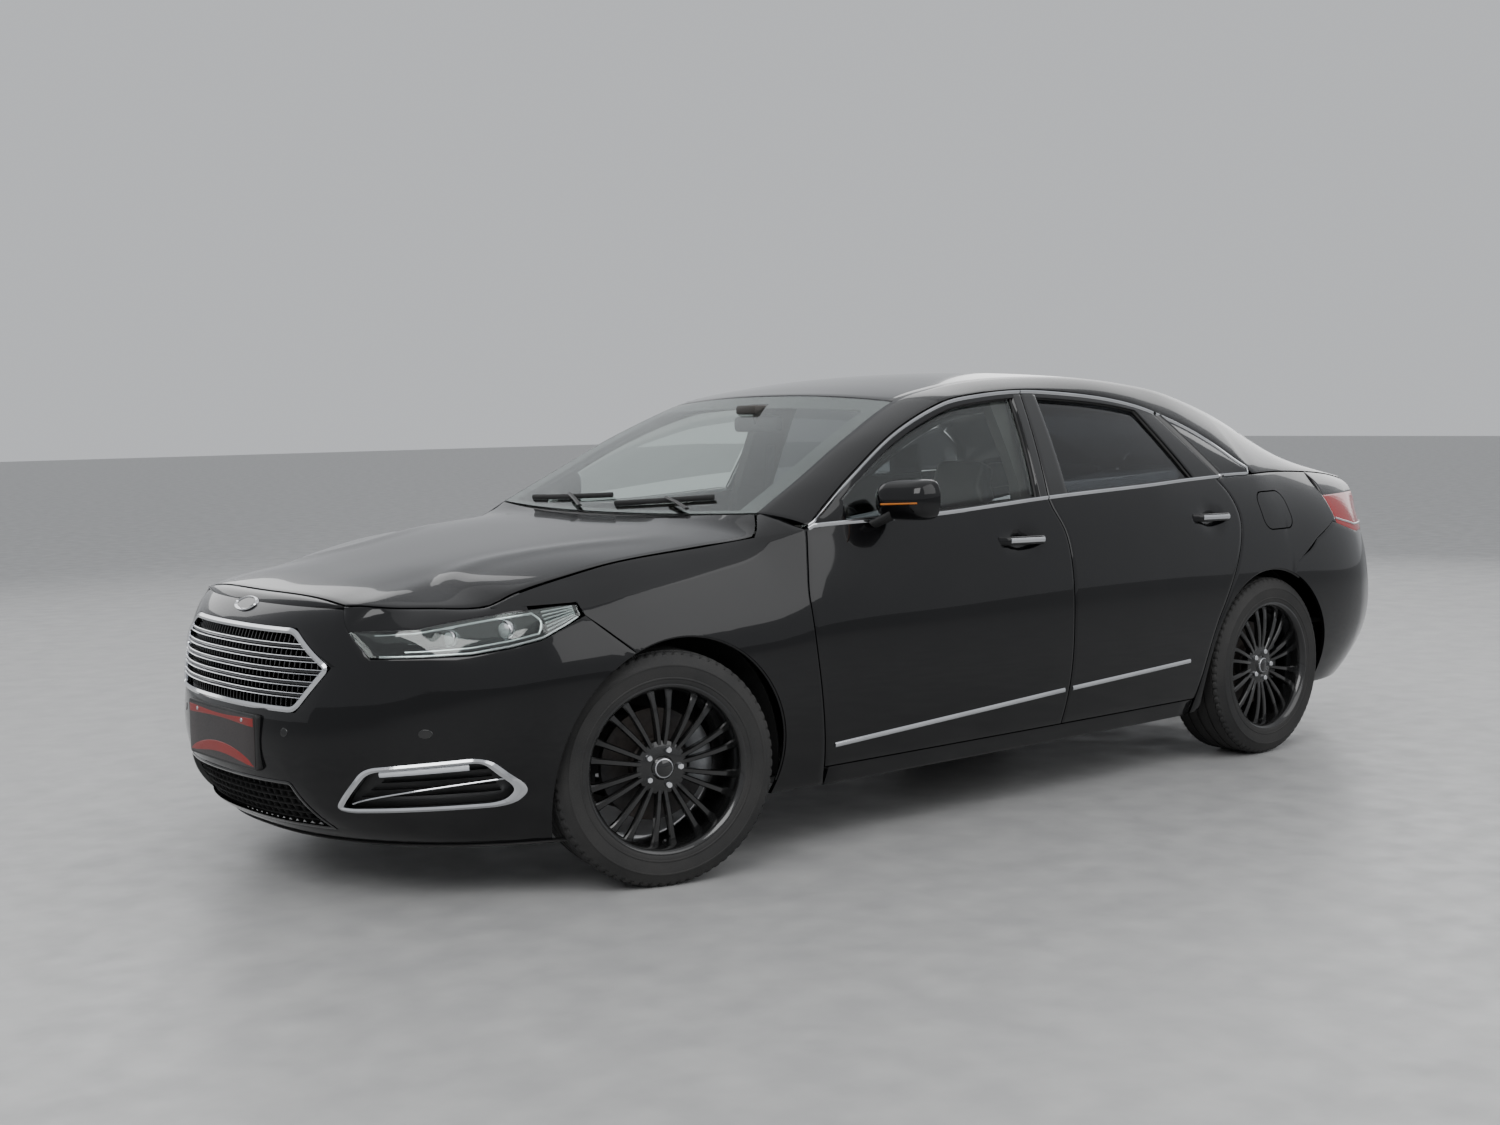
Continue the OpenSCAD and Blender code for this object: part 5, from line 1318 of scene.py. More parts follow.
def ring_mesh(loops: Sequence[Sequence[Point]], closed: bool = True) -> Shape:
    """Joins closed loops of equal length one after another, and the last to the first."""
    n = len(loops[0])
    verts = [p for loop in loops for p in loop]
    faces = []
    for a in range(len(loops) if closed else len(loops) - 1):
        b = (a + 1) % len(loops)
        faces += [[a * n + k, a * n + (k + 1) % n, b * n + (k + 1) % n, b * n + k] for k in range(n)]
    if not closed:
        faces += [list(range(n))[::-1], [(len(loops) - 1) * n + k for k in range(n)]]
    return verts, faces


def frame_ring(loop: Loop, place: Callable, width: float, front: float, back: float) -> Shape:
    """Returns a band along an outline on a surface: width wide, from front to back deep."""
    inside = grown(loop, -width)
    mid = grown(loop, -width / 2)
    loops = [[place(*p, back) for p in loop], [place(*p, front * 0.4) for p in loop],
             [place(*p, front) for p in mid],
             [place(*p, front * 0.4) for p in inside], [place(*p, back) for p in inside]]
    return ring_mesh(loops)


def plug(loop: Loop, place: Callable, front: float, back: float) -> Shape:
    """Returns a closed plug that fills an outline on a surface, from front to back deep."""
    cx, cy = sum(p[0] for p in loop) / len(loop), sum(p[1] for p in loop) / len(loop)
    loops = []
    for share in (0.02, 0.35, 0.7, 0.94, 1.0):
        loops.append([place(lerp(cx, p[0], share), lerp(cy, p[1], share), front + (1.5 if share == 1 else 0))
                      for p in loop])
    loops.append([place(*p, back) for p in loop])
    return ring_mesh(loops, closed=False)


@dataclass
class Nose:
    """The front bumper with its grille, intakes, fog bezels, plate and badge."""

    fine: int = 4
    bars: int = 5
    rib_gap: float = 21.0
    sensor_radius: float = 13.0

    def build(self) -> None:
        """Builds the whole nose."""
        self.bumper()
        self.grille()
        self.intake()
        self.plate()
        self.badge()
        self.brow()
        self.sensors()
        for left in (True, False):
            self.fog_bezel(left)

    def bumper(self) -> None:
        """Builds the bumper skin, with its openings and wheel arches cut."""
        n = self.fine
        params = refine(bumper_params(), n, n)
        gaps = [[8 * n, 11 * n, 0, 6 * n], [8 * n, 11 * n, 16 * n, 22 * n], [5 * n, 10 * n, 7 * n, 15 * n],
                [1 * n, 3 * n, 7 * n, 15 * n]]
        piece = shell_piece("front_bumper_skin", skin_grid(params, nose_point, 0),
                            skin_grid(params, nose_point, SKIN),
                            PAINT, ROOT, "body_paint", gaps=gaps, edge=1.5)
        cut(piece, [drum(FRONT_ARCH_X, ARCH_Z, ARCH_INNER, ARCH_OUTER, ARCH_RADIUS),
                    drum(FRONT_ARCH_X, ARCH_Z, -ARCH_OUTER, -ARCH_INNER, ARCH_RADIUS)]
                    + [self.fog_hole(s) for s in (1, -1)])
        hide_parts("front_bumper")
        lip = [nose_at(y, 172 - 8 * (abs(y) / 760) ** 2, 4) for y in range(-760, 761, 38)]
        tube_piece("front_lip", lip, (16, 5), PLASTIC, ROOT, "liner_plastic", sides=12)

    def hexagon(self) -> Loop:
        """Returns the grille's outline as y and z."""
        (z0, y0), (z1, y1), (z2, y2) = GRILLE
        return rounded([(y0, z0), (y1, z1), (y2, z2), (-y2, z2), (-y1, z1), (-y0, z0)], 26)

    def half_width(self, z: float) -> float:
        """Returns the grille opening's half width at height z."""
        return broken(GRILLE, z) - 13

    def grille(self) -> None:
        """Builds the chrome surround, the twin bars and the dark ribs behind them."""
        loop = self.hexagon()
        verts, faces = frame_ring(loop, nose_at, 15, -7, 16)
        piece = make_piece("grille_surround", verts, faces, CHROME, ROOT, "chrome_trim", angle=40)
        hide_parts("grille")
        z0, z1 = GRILLE[0][0] + 15, GRILLE[2][0] - 15
        pitch = (z1 - z0) / (self.bars + 1)
        chrome, dark = [], []
        for b in range(1, self.bars + 1):
            z = z0 + b * pitch
            for dz in (-6.5, 6.5):
                w = self.half_width(z + dz)
                chrome.append(tube_mesh([nose_at(lerp(-w, w, s), z + dz, 0) for s in steps(32)], (6, 2.4),
                                        10))
            w = self.half_width(z) - 2
            dark.append(tube_mesh([nose_at(lerp(-w, w, s), z, 9) for s in steps(32)], (10, 8), 8))
        make_piece("grille_bars", *join(chrome), CHROME, ROOT, "chrome_trim", angle=50)
        ribs = []
        count = int(2 * 470 / self.rib_gap)
        for k in range(count + 1):
            y = lerp(-462, 462, k / count)
            span = [z for z in range(556, 781, 8) if self.half_width(z) > abs(y)]
            if len(span) > 2:
                ribs.append(tube_mesh([nose_at(y, z, 26) for z in span], (3, 10), 6, up=(1, 0, 0)))
        make_piece("grille_ribs", *join(dark + ribs), GLOSS_BLACK, ROOT, "frame_paint", angle=50)
        make_piece("grille_back", *plug(grown(loop, -4), nose_at, 42, 48), PLASTIC, ROOT, "liner_plastic")

    def intake(self) -> None:
        """Builds the mesh in the lower intake."""
        bars = []
        for z in (236, 257, 278, 299, 320, 341):
            w = broken(INTAKE, z) - 5
            bars.append(tube_mesh([nose_at(lerp(-w, w, s), z, 22) for s in steps(28)], (9, 2.5), 8))
        for k in range(25):
            y = lerp(-384, 384, k / 24)
            span = [z for z in range(217, 350, 8) if broken(INTAKE, z) - 4 > abs(y)]
            if len(span) > 2:
                bars.append(tube_mesh([nose_at(y, z, 27) for z in span], (2, 8), 6, up=(1, 0, 0)))
        make_piece("intake_mesh", *join(bars), PLASTIC, ROOT, "liner_plastic", angle=50)
        (z0, y0), (z1, y1) = INTAKE
        loop = [(y0, z0), (y1, z1), (-y1, z1), (-y0, z0)]
        make_piece("intake_back", *plug(rounded(loop, 12), nose_at, 44, 50), SEAL, ROOT, "liner_plastic")
        make_piece("intake_trim", *frame_ring(rounded(grown(loop, 3), 14), nose_at, 9, -3, 14), GLOSS_BLACK,
                   ROOT,
                   "frame_paint", angle=40)

    def plate(self) -> None:
        """Builds the blank plate on its holder: a red band, a dark field and a red lower shape."""
        def flat(y: float, z: float, t: float = 0) -> Point:
            return (2497 - t - 5 * (y / 220) ** 2, y, z)

        holder = rounded([(228, 374), (228, 536), (-228, 536), (-228, 374)], 12)
        make_piece("plate_holder", *plug(holder, flat, 0, 22), PLASTIC, ROOT, "liner_plastic", edge=1.5)
        ground = rounded([(219, 382), (219, 528), (-219, 528), (-219, 382)], 9)
        make_piece("plate_field", *plug(ground, flat, -2.2, 1), PLATE_DARK, ROOT, "liner_plastic")
        band = [(214, 500), (214, 524), (-214, 524), (-214, 500)]
        make_piece("plate_band", *plug(band, flat, -3.2, 0), PLATE_RED, ROOT, "red_lens")
        hill = [(lerp(212, -212, s), 388 + 46 * math.sin(math.pi * s) ** 0.7) for s in steps(20)]
        make_piece("plate_shape", *plug(hill + [(-212, 386), (212, 386)], flat, -3.2, 0), PLATE_RED, ROOT,
                   "red_lens")
        screws = []
        for y in (-150, 150):
            screws.append(plug(circle(y, 514, 6, 16), flat, -5, 0))
        make_piece("plate_screws", *join(screws), SATIN_METAL, ROOT, "chrome_trim", edge=0.5)

    def badge(self) -> None:
        """Builds the blank oval badge over the grille."""
        make_piece("badge_ring", *frame_ring(circle(0, 832, 62, 48, 21), nose_at, 7, -9, 4), CHROME, ROOT,
                   "chrome_trim")
        make_piece("badge_field", *plug(circle(0, 832, 57, 48, 17), nose_at, -4, 4), GLOSS_BLACK, ROOT,
                   "frame_paint")

    def brow(self) -> None:
        """Builds the panel that closes the nose up to the bonnet's front and side edges."""
        upper, lower = [], []
        for s in steps(30):
            p = bonnet_point(lerp(0.69, 1, s), 1)
            upper.append((p[0] + 5 * s, p[1] + 4, p[2] - 4))
            if s < 0.8:
                x = lerp(1925, LAMP_END_X, s / 0.8)
                z = lerp(broken(LAMP, x, 2), LAMP_TOP_Z, max(0.0, s / 0.8 - 0.9) * 10)
                lower.append(nose_point(nose_angle_x(x, z), z, 1))
            else:
                z = lerp(LAMP_TOP_Z, BUMPER_EDGE_Z, (s - 0.8) / 0.2)
                lower.append(nose_at(broken(LAMP_INNER, z) + 1, z, 1))
        side = [[tuple(lerp(a[c], b[c], t) + (3 * math.sin(math.pi * t) if c == 2 else 0) for c in range(3))
                 for a, b in zip(lower, upper)] for t in steps(6)]
        under = [[(p[0] - 3, p[1] - 2, p[2] - 4) for p in row] for row in side]
        for left in (True, False):
            shell_piece(f"{side_name(left)}_lamp_brow", side, under, PAINT, ROOT, "body_paint", left,
                        edge=0.8)
        top, low = [], []
        for v in steps(36):
            w = 2 * v - 1
            p = bonnet_point(1, w)
            top.append((p[0] + 3, p[1], p[2] - 3))
            low.append(nose_at(lerp(-440, 440, v), BUMPER_EDGE_Z, 0))
        rows = [[tuple(lerp(a[c], b[c], t) + (5 * math.sin(math.pi * t) if c != 1 else 0) for c in range(3))
                 for a, b in zip(low, top)] for t in steps(6)]
        shell_piece("nose_cap", rows, [[(p[0] - 8, p[1], p[2] - 6) for p in row] for row in rows], PAINT,
                    ROOT,
                    "body_paint", edge=0.8)

    def sensors(self) -> None:
        """Builds the round parking sensors."""
        parts = []
        for y, z in ((-690, 505), (-330, 495), (330, 495), (690, 505)):
            parts.append(plug(circle(y, z, self.sensor_radius, 28), nose_at, -1.5, 6))
        make_piece("front_sensors", *join(parts), GLOSS_BLACK, ROOT, "frame_paint", edge=0.6)

    def fog_loop(self) -> Loop:
        """Returns the fog bezel's outline as y and z."""
        return rounded([(452, 284), (560, 408), (778, 436), (806, 340), (772, 290), (487, 274)], 30, 8)

    def fog_hole(self, s: int) -> Shape:
        """Returns the cutter of one fog bezel's opening."""
        def at(y: float, z: float, t: float) -> Point:
            p = nose_at(y, z, t)
            return (p[0], s * p[1], p[2])

        return plug(grown(self.fog_loop(), -3), at, -40, 60)

    def fog_bezel(self, left: bool) -> None:
        """Builds one chrome fog bezel with its light row, blade and dark inside."""
        side, loop = side_name(left), self.fog_loop()
        verts, faces = frame_ring(loop, nose_at, 13, -7, 18)
        make_piece(f"{side}_fog_bezel", flipped(verts, left), faces, CHROME, ROOT, "chrome_trim", angle=40)
        verts, faces = plug(grown(loop, -5), nose_at, 40, 46)
        make_piece(f"{side}_fog_back", flipped(verts, left), faces, PLASTIC, ROOT, "liner_plastic")
        walls = ring_mesh([[nose_at(*p, 10) for p in grown(loop, -5)],
                           [nose_at(*p, 44) for p in grown(loop, -9)],
                           [nose_at(*p, 44) for p in grown(loop, -11)],
                           [nose_at(*p, 10) for p in grown(loop, -8)]])
        make_piece(f"{side}_fog_wall", flipped(walls[0], left), walls[1], GLOSS_BLACK, ROOT, "frame_paint")
        row = [nose_at(lerp(590, 748, s), lerp(391, 408, s), 5) for s in steps(14)]
        tube = tube_mesh(row, (7, 9), 12)
        make_piece(f"{side}_day_light", flipped(tube[0], left), tube[1], WHITE_LENS, ROOT, "lamp_lens")
        blade = tube_mesh([nose_at(lerp(500, 795, s), lerp(300, 372, s ** 0.8), 14) for s in steps(16)],
                          (9, 4), 12)
        make_piece(f"{side}_fog_blade", flipped(blade[0], left), blade[1], CHROME, ROOT, "chrome_trim")
        fins = [tube_mesh([nose_at(lerp(520 + 30 * k, 770, s), 318 + 22 * k + 14 * s, 34) for s in steps(10)],
                          (8, 2), 8)
                for k in range(4)]
        verts, faces = join(fins)
        make_piece(f"{side}_fog_fins", flipped(verts, left), faces, GLOSS_BLACK, ROOT, "frame_paint")


@dataclass
class Headlamp:
    """One headlamp: lens, dark bowl, projector, light guide, ribs and chrome line."""

    left: bool
    projector_radius: float = 27.0
    depth: float = 52.0

    def build(self) -> None:
        """Builds the lamp."""
        side = side_name(self.left)
        self.params = refine(lamp_params(), 8, 6)
        lens = shell_piece(f"{side}_lamp_lens", half_grid(self.params, nose_point, 0),
                           half_grid(self.params, nose_point, 3),
                           CLEAR_GLASS, ROOT, "lamp_lens", self.left, edge=0.8)
        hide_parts("headlamps")
        shell_piece(f"{side}_lamp_bowl",
                    half_grid(self.params, nose_point, lambda k: lerp(self.depth, 10, k)),
                    half_grid(self.params, nose_point, lambda k: lerp(self.depth + 4, 13, k)), GLOSS_BLACK,
                    ROOT,
                    "frame_paint", self.left, edge=0)
        self.light_guide()
        self.projectors(side)
        self.ribs(side)

    def at(self, s: float, k: float, t: float) -> Point:
        """Returns a point of the lamp: s from its outer to its inner end, k up, t deep."""
        rows, cols = len(self.params) - 1, len(self.params[0]) - 1
        j, i = min(int(k * rows), rows - 1), min(int(s * cols), cols - 1)
        tj, ti = k * rows - j, s * cols - i
        p = [lerp(lerp(self.params[j][i][c], self.params[j][i + 1][c], ti),
                  lerp(self.params[j + 1][i][c], self.params[j + 1][i + 1][c], ti), tj) for c in (0, 1)]
        return nose_point(p[0], p[1], t)

    def tube(self, name: str, path: Sequence[Point], radius: tuple[float, float], finish: Finish,
             slot: str) -> None:
        """Builds one swept piece of the lamp."""
        tube_piece(f"{side_name(self.left)}_{name}", flipped(path, self.left), radius, finish, ROOT, slot,
                   sides=12)

    def light_guide(self) -> None:
        """Builds the chrome guide round the projectors and the bright line under them."""
        path = [self.at(lerp(0.34, 0.95, s), 0.86 - 0.04 * s, 12 + 4 * s) for s in steps(18)]
        bend = [self.at(0.34 - 0.035 * math.sin(math.pi * s), lerp(0.86, 0.16, s), lerp(12, 24, s))
                for s in steps(8)]
        low = [self.at(lerp(0.34, 0.9, s), 0.15, 24) for s in steps(18)]
        self.tube("light_guide", path[::-1] + bend[1:-1] + low, (4.5, 4.5), CHROME, "chrome_trim")
        self.tube("lamp_line", [self.at(lerp(0.03, 0.97, s), 0.035, 6) for s in steps(28)], (3, 3.4), CHROME,
                  "chrome_trim")

    def projectors(self, side: str) -> None:
        """Builds the two projector lamps with their chrome rings."""
        for n, (s, r) in enumerate(((0.5, self.projector_radius), (0.74, self.projector_radius * 0.85))):
            p = Vector(self.at(s, 0.5, 20))
            out = Vector((1, 0.22, 0)).normalized()
            across, up = out.cross(Vector((0, 0, 1))).normalized(), Vector((0, 0, 1))
            profile = ((0.0, 9), (0.3, 8.2), (0.6, 5.4), (0.8, 0.5), (0.82, -3), (0.99, -2), (1.06, 3),
                       (1.1, -2),
                       (1.05, -14), (0.9, -24), (0.0, -24))
            verts: list[Point] = []
            for rr, d in profile:
                for k in range(32):
                    a = 2 * math.pi * k / 32
                    verts.append(tuple(p + out * d
                                       + (across * math.cos(a) + up * math.sin(a)) * max(rr, 0.004) * r))
            faces = [[j * 32 + k, j * 32 + (k + 1) % 32, (j + 1) * 32 + (k + 1) % 32, (j + 1) * 32 + k]
                     for j in range(len(profile) - 1) for k in range(32)]
            lens_faces, ring_faces = faces[:3 * 32], faces[3 * 32:]
            make_piece(f"{side}_projector_lens_{n}", flipped(verts, self.left), lens_faces, WHITE_LENS, ROOT,
                       "lamp_lens", angle=60)
            make_piece(f"{side}_projector_ring_{n}", flipped(verts, self.left), ring_faces, CHROME, ROOT,
                       "chrome_trim", angle=40)

    def ribs(self, side: str) -> None:
        """Builds the pale ribs at the lamp's outer corner."""
        parts = [tube_mesh([self.at(lerp(0.04, 0.28, s), 0.16 + 0.14 * k, lerp(16, 9, k / 5))
                            for s in steps(10)],
                           (5, 2.6), 8) for k in range(6)]
        verts, faces = join(parts)
        make_piece(f"{side}_lamp_ribs", flipped(verts, self.left), faces, WHITE_LENS, ROOT, "lamp_lens")


@dataclass
class Tail:
    """The rear bumper with its lower panel, lamps, shoulders, sensors and reflectors."""

    fine: int = 4
    sensor_radius: float = 13.0

    def build(self) -> None:
        """Builds the whole tail."""
        n = self.fine
        params = refine(rear_bumper_params(), n, n)
        piece = shell_piece("rear_bumper_skin", skin_grid(params, tail_skin, 0),
                            skin_grid(params, tail_skin, SKIN),
                            PAINT, ROOT, "body_paint", gaps=[[6 * n, 8 * n, 7 * n, 15 * n]], edge=1.5)
        cut(piece, [drum(REAR_AXLE, ARCH_Z, ARCH_INNER, ARCH_OUTER, ARCH_RADIUS),
                    drum(REAR_AXLE, ARCH_Z, -ARCH_OUTER, -ARCH_INNER, ARCH_RADIUS)])
        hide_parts("rear_bumper")
        self.diffuser()
        for left in (True, False):
            self.lamp(left)

    def diffuser(self) -> None:
        """Builds the dark lower panel, its fins, the reflectors and the parking sensors."""
        loop = rounded([(560, 250), (500, 372), (-500, 372), (-560, 250)], 20)
        make_piece("diffuser_panel", *plug(loop, tail_at, -4, 8), PLASTIC, ROOT, "liner_plastic", edge=1)
        fins = [tube_mesh([tail_at(y, z, -8) for z in range(256, 368, 10)], (5, 8), 8, up=(1, 0, 0))
                for y in (-300, -150, 0, 150, 300)]
        make_piece("diffuser_fins", *join(fins), GLOSS_BLACK, ROOT, "liner_plastic")
        parts = [plug(circle(y, z, self.sensor_radius, 24), tail_at, -1.5, 6)
                 for y, z in ((-700, 510), (700, 510), (-330, 500), (330, 500))]
        make_piece("rear_sensors", *join(parts), GLOSS_BLACK, ROOT, "frame_paint", edge=0.6)
        strips = [plug(rounded([(s * 560, 402), (s * 560, 424), (s * 740, 428), (s * 740, 406)], 8), tail_at,
                       -3, 4)
                  for s in (-1, 1)]
        make_piece("rear_reflectors", *join(strips), RED_LENS, ROOT, "red_lens", edge=1)

    def lamp(self, left: bool) -> None:
        """Builds one tail lamp: its lens, bowl, light bars and chrome line."""
        side = side_name(left)
        params = refine(tail_lamp_params(), 8, 5)
        lens = shell_piece(f"{side}_tail_lens", half_grid(params, tail_point, 0),
                           half_grid(params, tail_point, 4),
                           RED_LENS, ROOT, "red_lens", left, edge=1)
        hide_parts("tail_lamps")
        shell_piece(f"{side}_tail_bowl", half_grid(params, tail_point, 26), half_grid(params, tail_point, 30),
                    GLOSS_BLACK, ROOT, "frame_paint", left, edge=0)
        for n, row in enumerate((8, 12)):
            path = [tail_point(a, z, 12) for a, z in params[row][3:-2]]
            tube_piece(f"{side}_tail_bar_{n}", flipped(path, left), (6, 5), WHITE_LENS, ROOT, "lamp_lens")
        self.shoulder(side, params[-1], left)
        path = [tail_point(a, z, -2) for a, z in params[3]]
        tube_piece(f"{side}_tail_chrome", flipped(path, left), (3, 4), CHROME, ROOT, "chrome_trim")

    def shoulder(self, side: str, edge: Sequence[tuple[float, float]], left: bool) -> None:
        """Builds the painted shoulder between the tail lamp's top, the deck and the boot lid."""
        lower = [tail_point(a, z, 0) for a, z in edge]
        ends = ((0, -1947), (0.8, -2345))
        upper = []
        for s in steps(len(lower) - 1):
            x = broken(ends, s)
            p = (x, curve(SHOULDER, x, 2), curve(SHOULDER, x, 1))
            corner = (-2390, 606, 998)
            upper.append(tuple(lerp(p[c], corner[c], max(0.0, (s - 0.8) / 0.2)) for c in range(3)))
        rows = [[tuple(lerp(a[c], b[c], t) + (0, 9, 6)[c] * math.sin(math.pi * t) for c in range(3))
                 for a, b in zip(lower, upper)] for t in steps(8)]
        under = [[(p[0] + 4, p[1] - 6, p[2] - 6) for p in row] for row in rows]
        shell_piece(f"{side}_tail_shoulder", rows, under, PAINT, ROOT, "body_paint", left, edge=0.8)


# ---- Wheels ----


@dataclass
class Wheel:
    """One wheel: tyre, ten pairs of spokes, nuts and a blank cap."""

    left: bool
    is_front: bool
    radius: float = 345.0
    width: float = 245.0
    rim: float = 250.0
    pairs: int = 10
    blocks: int = 72

    def __post_init__(self) -> None:
        """Works out the wheel's name and where its middle and axis are."""
        self.label = f"{'front' if self.is_front else 'rear'}_{side_name(self.left)}"
        self.body = self.label + "_wheel"
        s = 1 if self.left else -1
        if self.is_front:
            turn = Matrix.Rotation(math.radians(-15), 4, "Z")
            self.place = (Matrix.Translation((FRONT_AXLE, s * 745, AXLE_Z)) @ turn
                          @ Matrix.Diagonal((1, s, 1, 1)) @ Matrix.Translation((0, 55, 0)))
        else:
            self.place = Matrix.Diagonal((1, s, 1, 1)) @ Matrix.Translation((REAR_AXLE, 800, AXLE_Z))

    def piece(self, name: str, parts: Sequence[Shape], finish: Finish, slot: str, body: str = "",
              edge: float = 0.0,
              angle: float = SHARP_ANGLE) -> bpy.types.Object:
        """Makes a piece of the wheel from points drawn with the axle along y at the origin."""
        verts, faces = join(parts)
        moved = [tuple(self.place @ Vector(p)) for p in verts]
        return make_piece(f"{self.label}_{name}", moved, faces, finish, body or self.body, slot, edge, angle)

    def spun(self, profile: Loop, sides: int = 120, wobble: Callable | None = None) -> Shape:
        """Spins a closed profile of radius and y round the axle."""
        n = len(profile)
        verts = []
        for k in range(sides):
            a = 2 * math.pi * k / sides
            for j, (r, y) in enumerate(profile):
                q = r + (wobble(k, j) if wobble else 0)
                verts.append((q * math.cos(a), y, q * math.sin(a)))
        faces = [[k * n + j, k * n + (j + 1) % n, ((k + 1) % sides) * n + (j + 1) % n,
                  ((k + 1) % sides) * n + j]
                 for k in range(sides) for j in range(n)]
        return verts, faces

    def build(self) -> None:
        """Builds the tyre, the rim, its fittings and the brake behind it."""
        self.tyre()
        self.rim_parts()
        self.brake()

    def tyre(self) -> None:
        """Builds the carcass with grooves, shoulder blocks and sidewall rings."""
        w, r = self.width / 2, self.radius
        side = [(239, w - 14), (246, w - 7), (256, w - 3.5), (262, w - 3.2), (264, w - 1.2), (267, w - 1.2),
                (269, w - 2.4), (288, w), (300, w + 0.4), (301, w + 1.4), (304, w + 1.4), (305, w),
                (311, w - 3), (322, w - 9), (332, w - 16)]
        crown = []
        for y in (94, 90, 89, 52, 51, 45, 44, 7, 6):
            crown.append((r - (1.5 if y > 60 else 0.2) - (7 if y in (90, 51, 45, 6) else 0), y))
        half = [(334, 106), (337, 104)] + [(r - 3 - (0 if i else 1), y) for i,
                                           y in enumerate((99, 95))] + crown
        whole = side + half
        profile = whole + [(q, -y) for q, y in whole[::-1]]
        base = len(side)
        count = len(profile)

        def wobble(k: int, j: int) -> float:
            shoulder = base <= j < base + 5 or base <= count - 1 - j < base + 5
            return -5.5 if shoulder and k % 4 == 0 else 0.0

        carcass = self.piece("tyre_carcass", [self.spun(profile, self.blocks * 4, wobble)], RUBBER,
                             "tyre_rubber", angle=28)
        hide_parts(f"{self.label}_tyre")

    def spoke(self, turn: float) -> Shape:
        """Returns one thin spoke, turned about the axle by an angle in degrees."""
        a = math.radians(turn)
        rows = []
        for s in steps(10):
            r = lerp(66, 229, s)
            half = lerp(7.6, 10.2, s) + 5 * max(0.0, s - 0.86) * 7
            face = 70 + 13 * math.sin(math.pi * min(1.0, s * 0.75 + 0.12)) - 2 * s
            back = face - lerp(24, 15, s)
            lean = math.radians(lerp(0.8, -0.6, s))
            ring = [(-half, back), (-half * 0.96, face - 4), (-half * 0.62, face), (half * 0.62, face),
                    (half * 0.96, face - 4), (half, back)]
            rows.append([(r * math.cos(a + lean) - x * math.sin(a), y,
                          r * math.sin(a + lean) + x * math.cos(a))
                         for x, y in ring])
        return ring_mesh(rows, closed=False)

    def rim_parts(self) -> None:
        """Builds the barrel, hub, spokes, nuts and cap."""
        w = self.width / 2
        barrel = [(238, -w + 14), (250, -w + 12), (251, -w + 4), (247, -w + 1), (241, -w + 6), (236, -w + 18),
                  (222, -40), (222, 30), (228, w - 36), (231, w - 22), (238, w - 9), (245, w - 5.2),
                  (250, w - 6),
                  (250, w - 12), (238, w - 14)]
        hub = [(0.5, 84), (30, 84), (33, 81), (36, 77), (66, 75), (78, 70), (82, 62), (80, 44), (70, 40),
               (0.5, 40)]
        spread = 360 / self.pairs
        spokes = [self.spoke(k * spread + spread / 2 + s * 7.2) for k in range(self.pairs) for s in (-1, 1)]
        rim = self.piece("rim_body", [self.spun(barrel), self.spun(hub, 96)] + spokes, WHEEL_PAINT,
                         "wheel_paint",
                         angle=34)
        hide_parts(f"{self.label}_rim")
        nuts = []
        for k in range(5):
            a = math.radians(72 * k + 36)
            cx, cz = 54 * math.cos(a), 54 * math.sin(a)
            rows = []
            for rr, y in ((0.3, 88), (8, 88), (10.5, 85), (11, 70)):
                rows.append([(cx + rr * math.cos(math.pi * j / 6) * (1 if j % 2 else 0.93), y,
                              cz + rr * math.sin(math.pi * j / 6) * (1 if j % 2 else 0.93))
                              for j in range(12)])
            nuts.append(ring_mesh(rows, closed=False))
        self.piece("wheel_nuts", nuts, CHROME, "chrome_trim", angle=30)
        cap = [(0.5, 90), (24, 88.5), (27, 86.5), (28, 82), (0.5, 82)]
        self.piece("wheel_cap", [self.spun(cap, 48)], GLOSS_BLACK, "wheel_paint")
        ring = [(25.5, 89.2), (28.2, 87.8), (28.8, 84), (25.5, 84)]
        self.piece("cap_ring", [self.spun(ring, 48)], SATIN_METAL, "chrome_trim")
        valve = tube_mesh([(0, 66, -222), (0, 84, -212)], 4, 8, up=(1, 0, 0))
        self.piece("valve", [valve], SEAL, "tyre_rubber")

    def brake(self) -> None:
        """Builds the brake disc, which turns with the wheel, and its caliper."""
        disc = [(70, 8), (165, 8), (166, 6), (166, -14), (165, -16), (70, -16)]
        bell = [(32, 38), (78, 38), (82, 34), (82, 8), (70, 8), (32, 8)]
        self.piece("brake_disc", [self.spun(disc, 96), self.spun(bell, 72)], IRON, "suspension_iron")
        rows = []
        for s in steps(12):
            a = math.radians(lerp(140, 205, s))
            rows.append([(r * math.cos(a), y, r * math.sin(a)) for r, y in
                         ((108, -30), (108, 18), (150, 28), (180, 22), (180, -34), (150, -42))])
        body = f"{side_name(self.left)}_steering_knuckle" if self.is_front else ROOT
        caliper = ring_mesh(rows, closed=False)
        self.piece("caliper", [caliper], ALLOY, "suspension_iron", body, edge=3)


# ---- Mirrors, cabin and small fittings ----


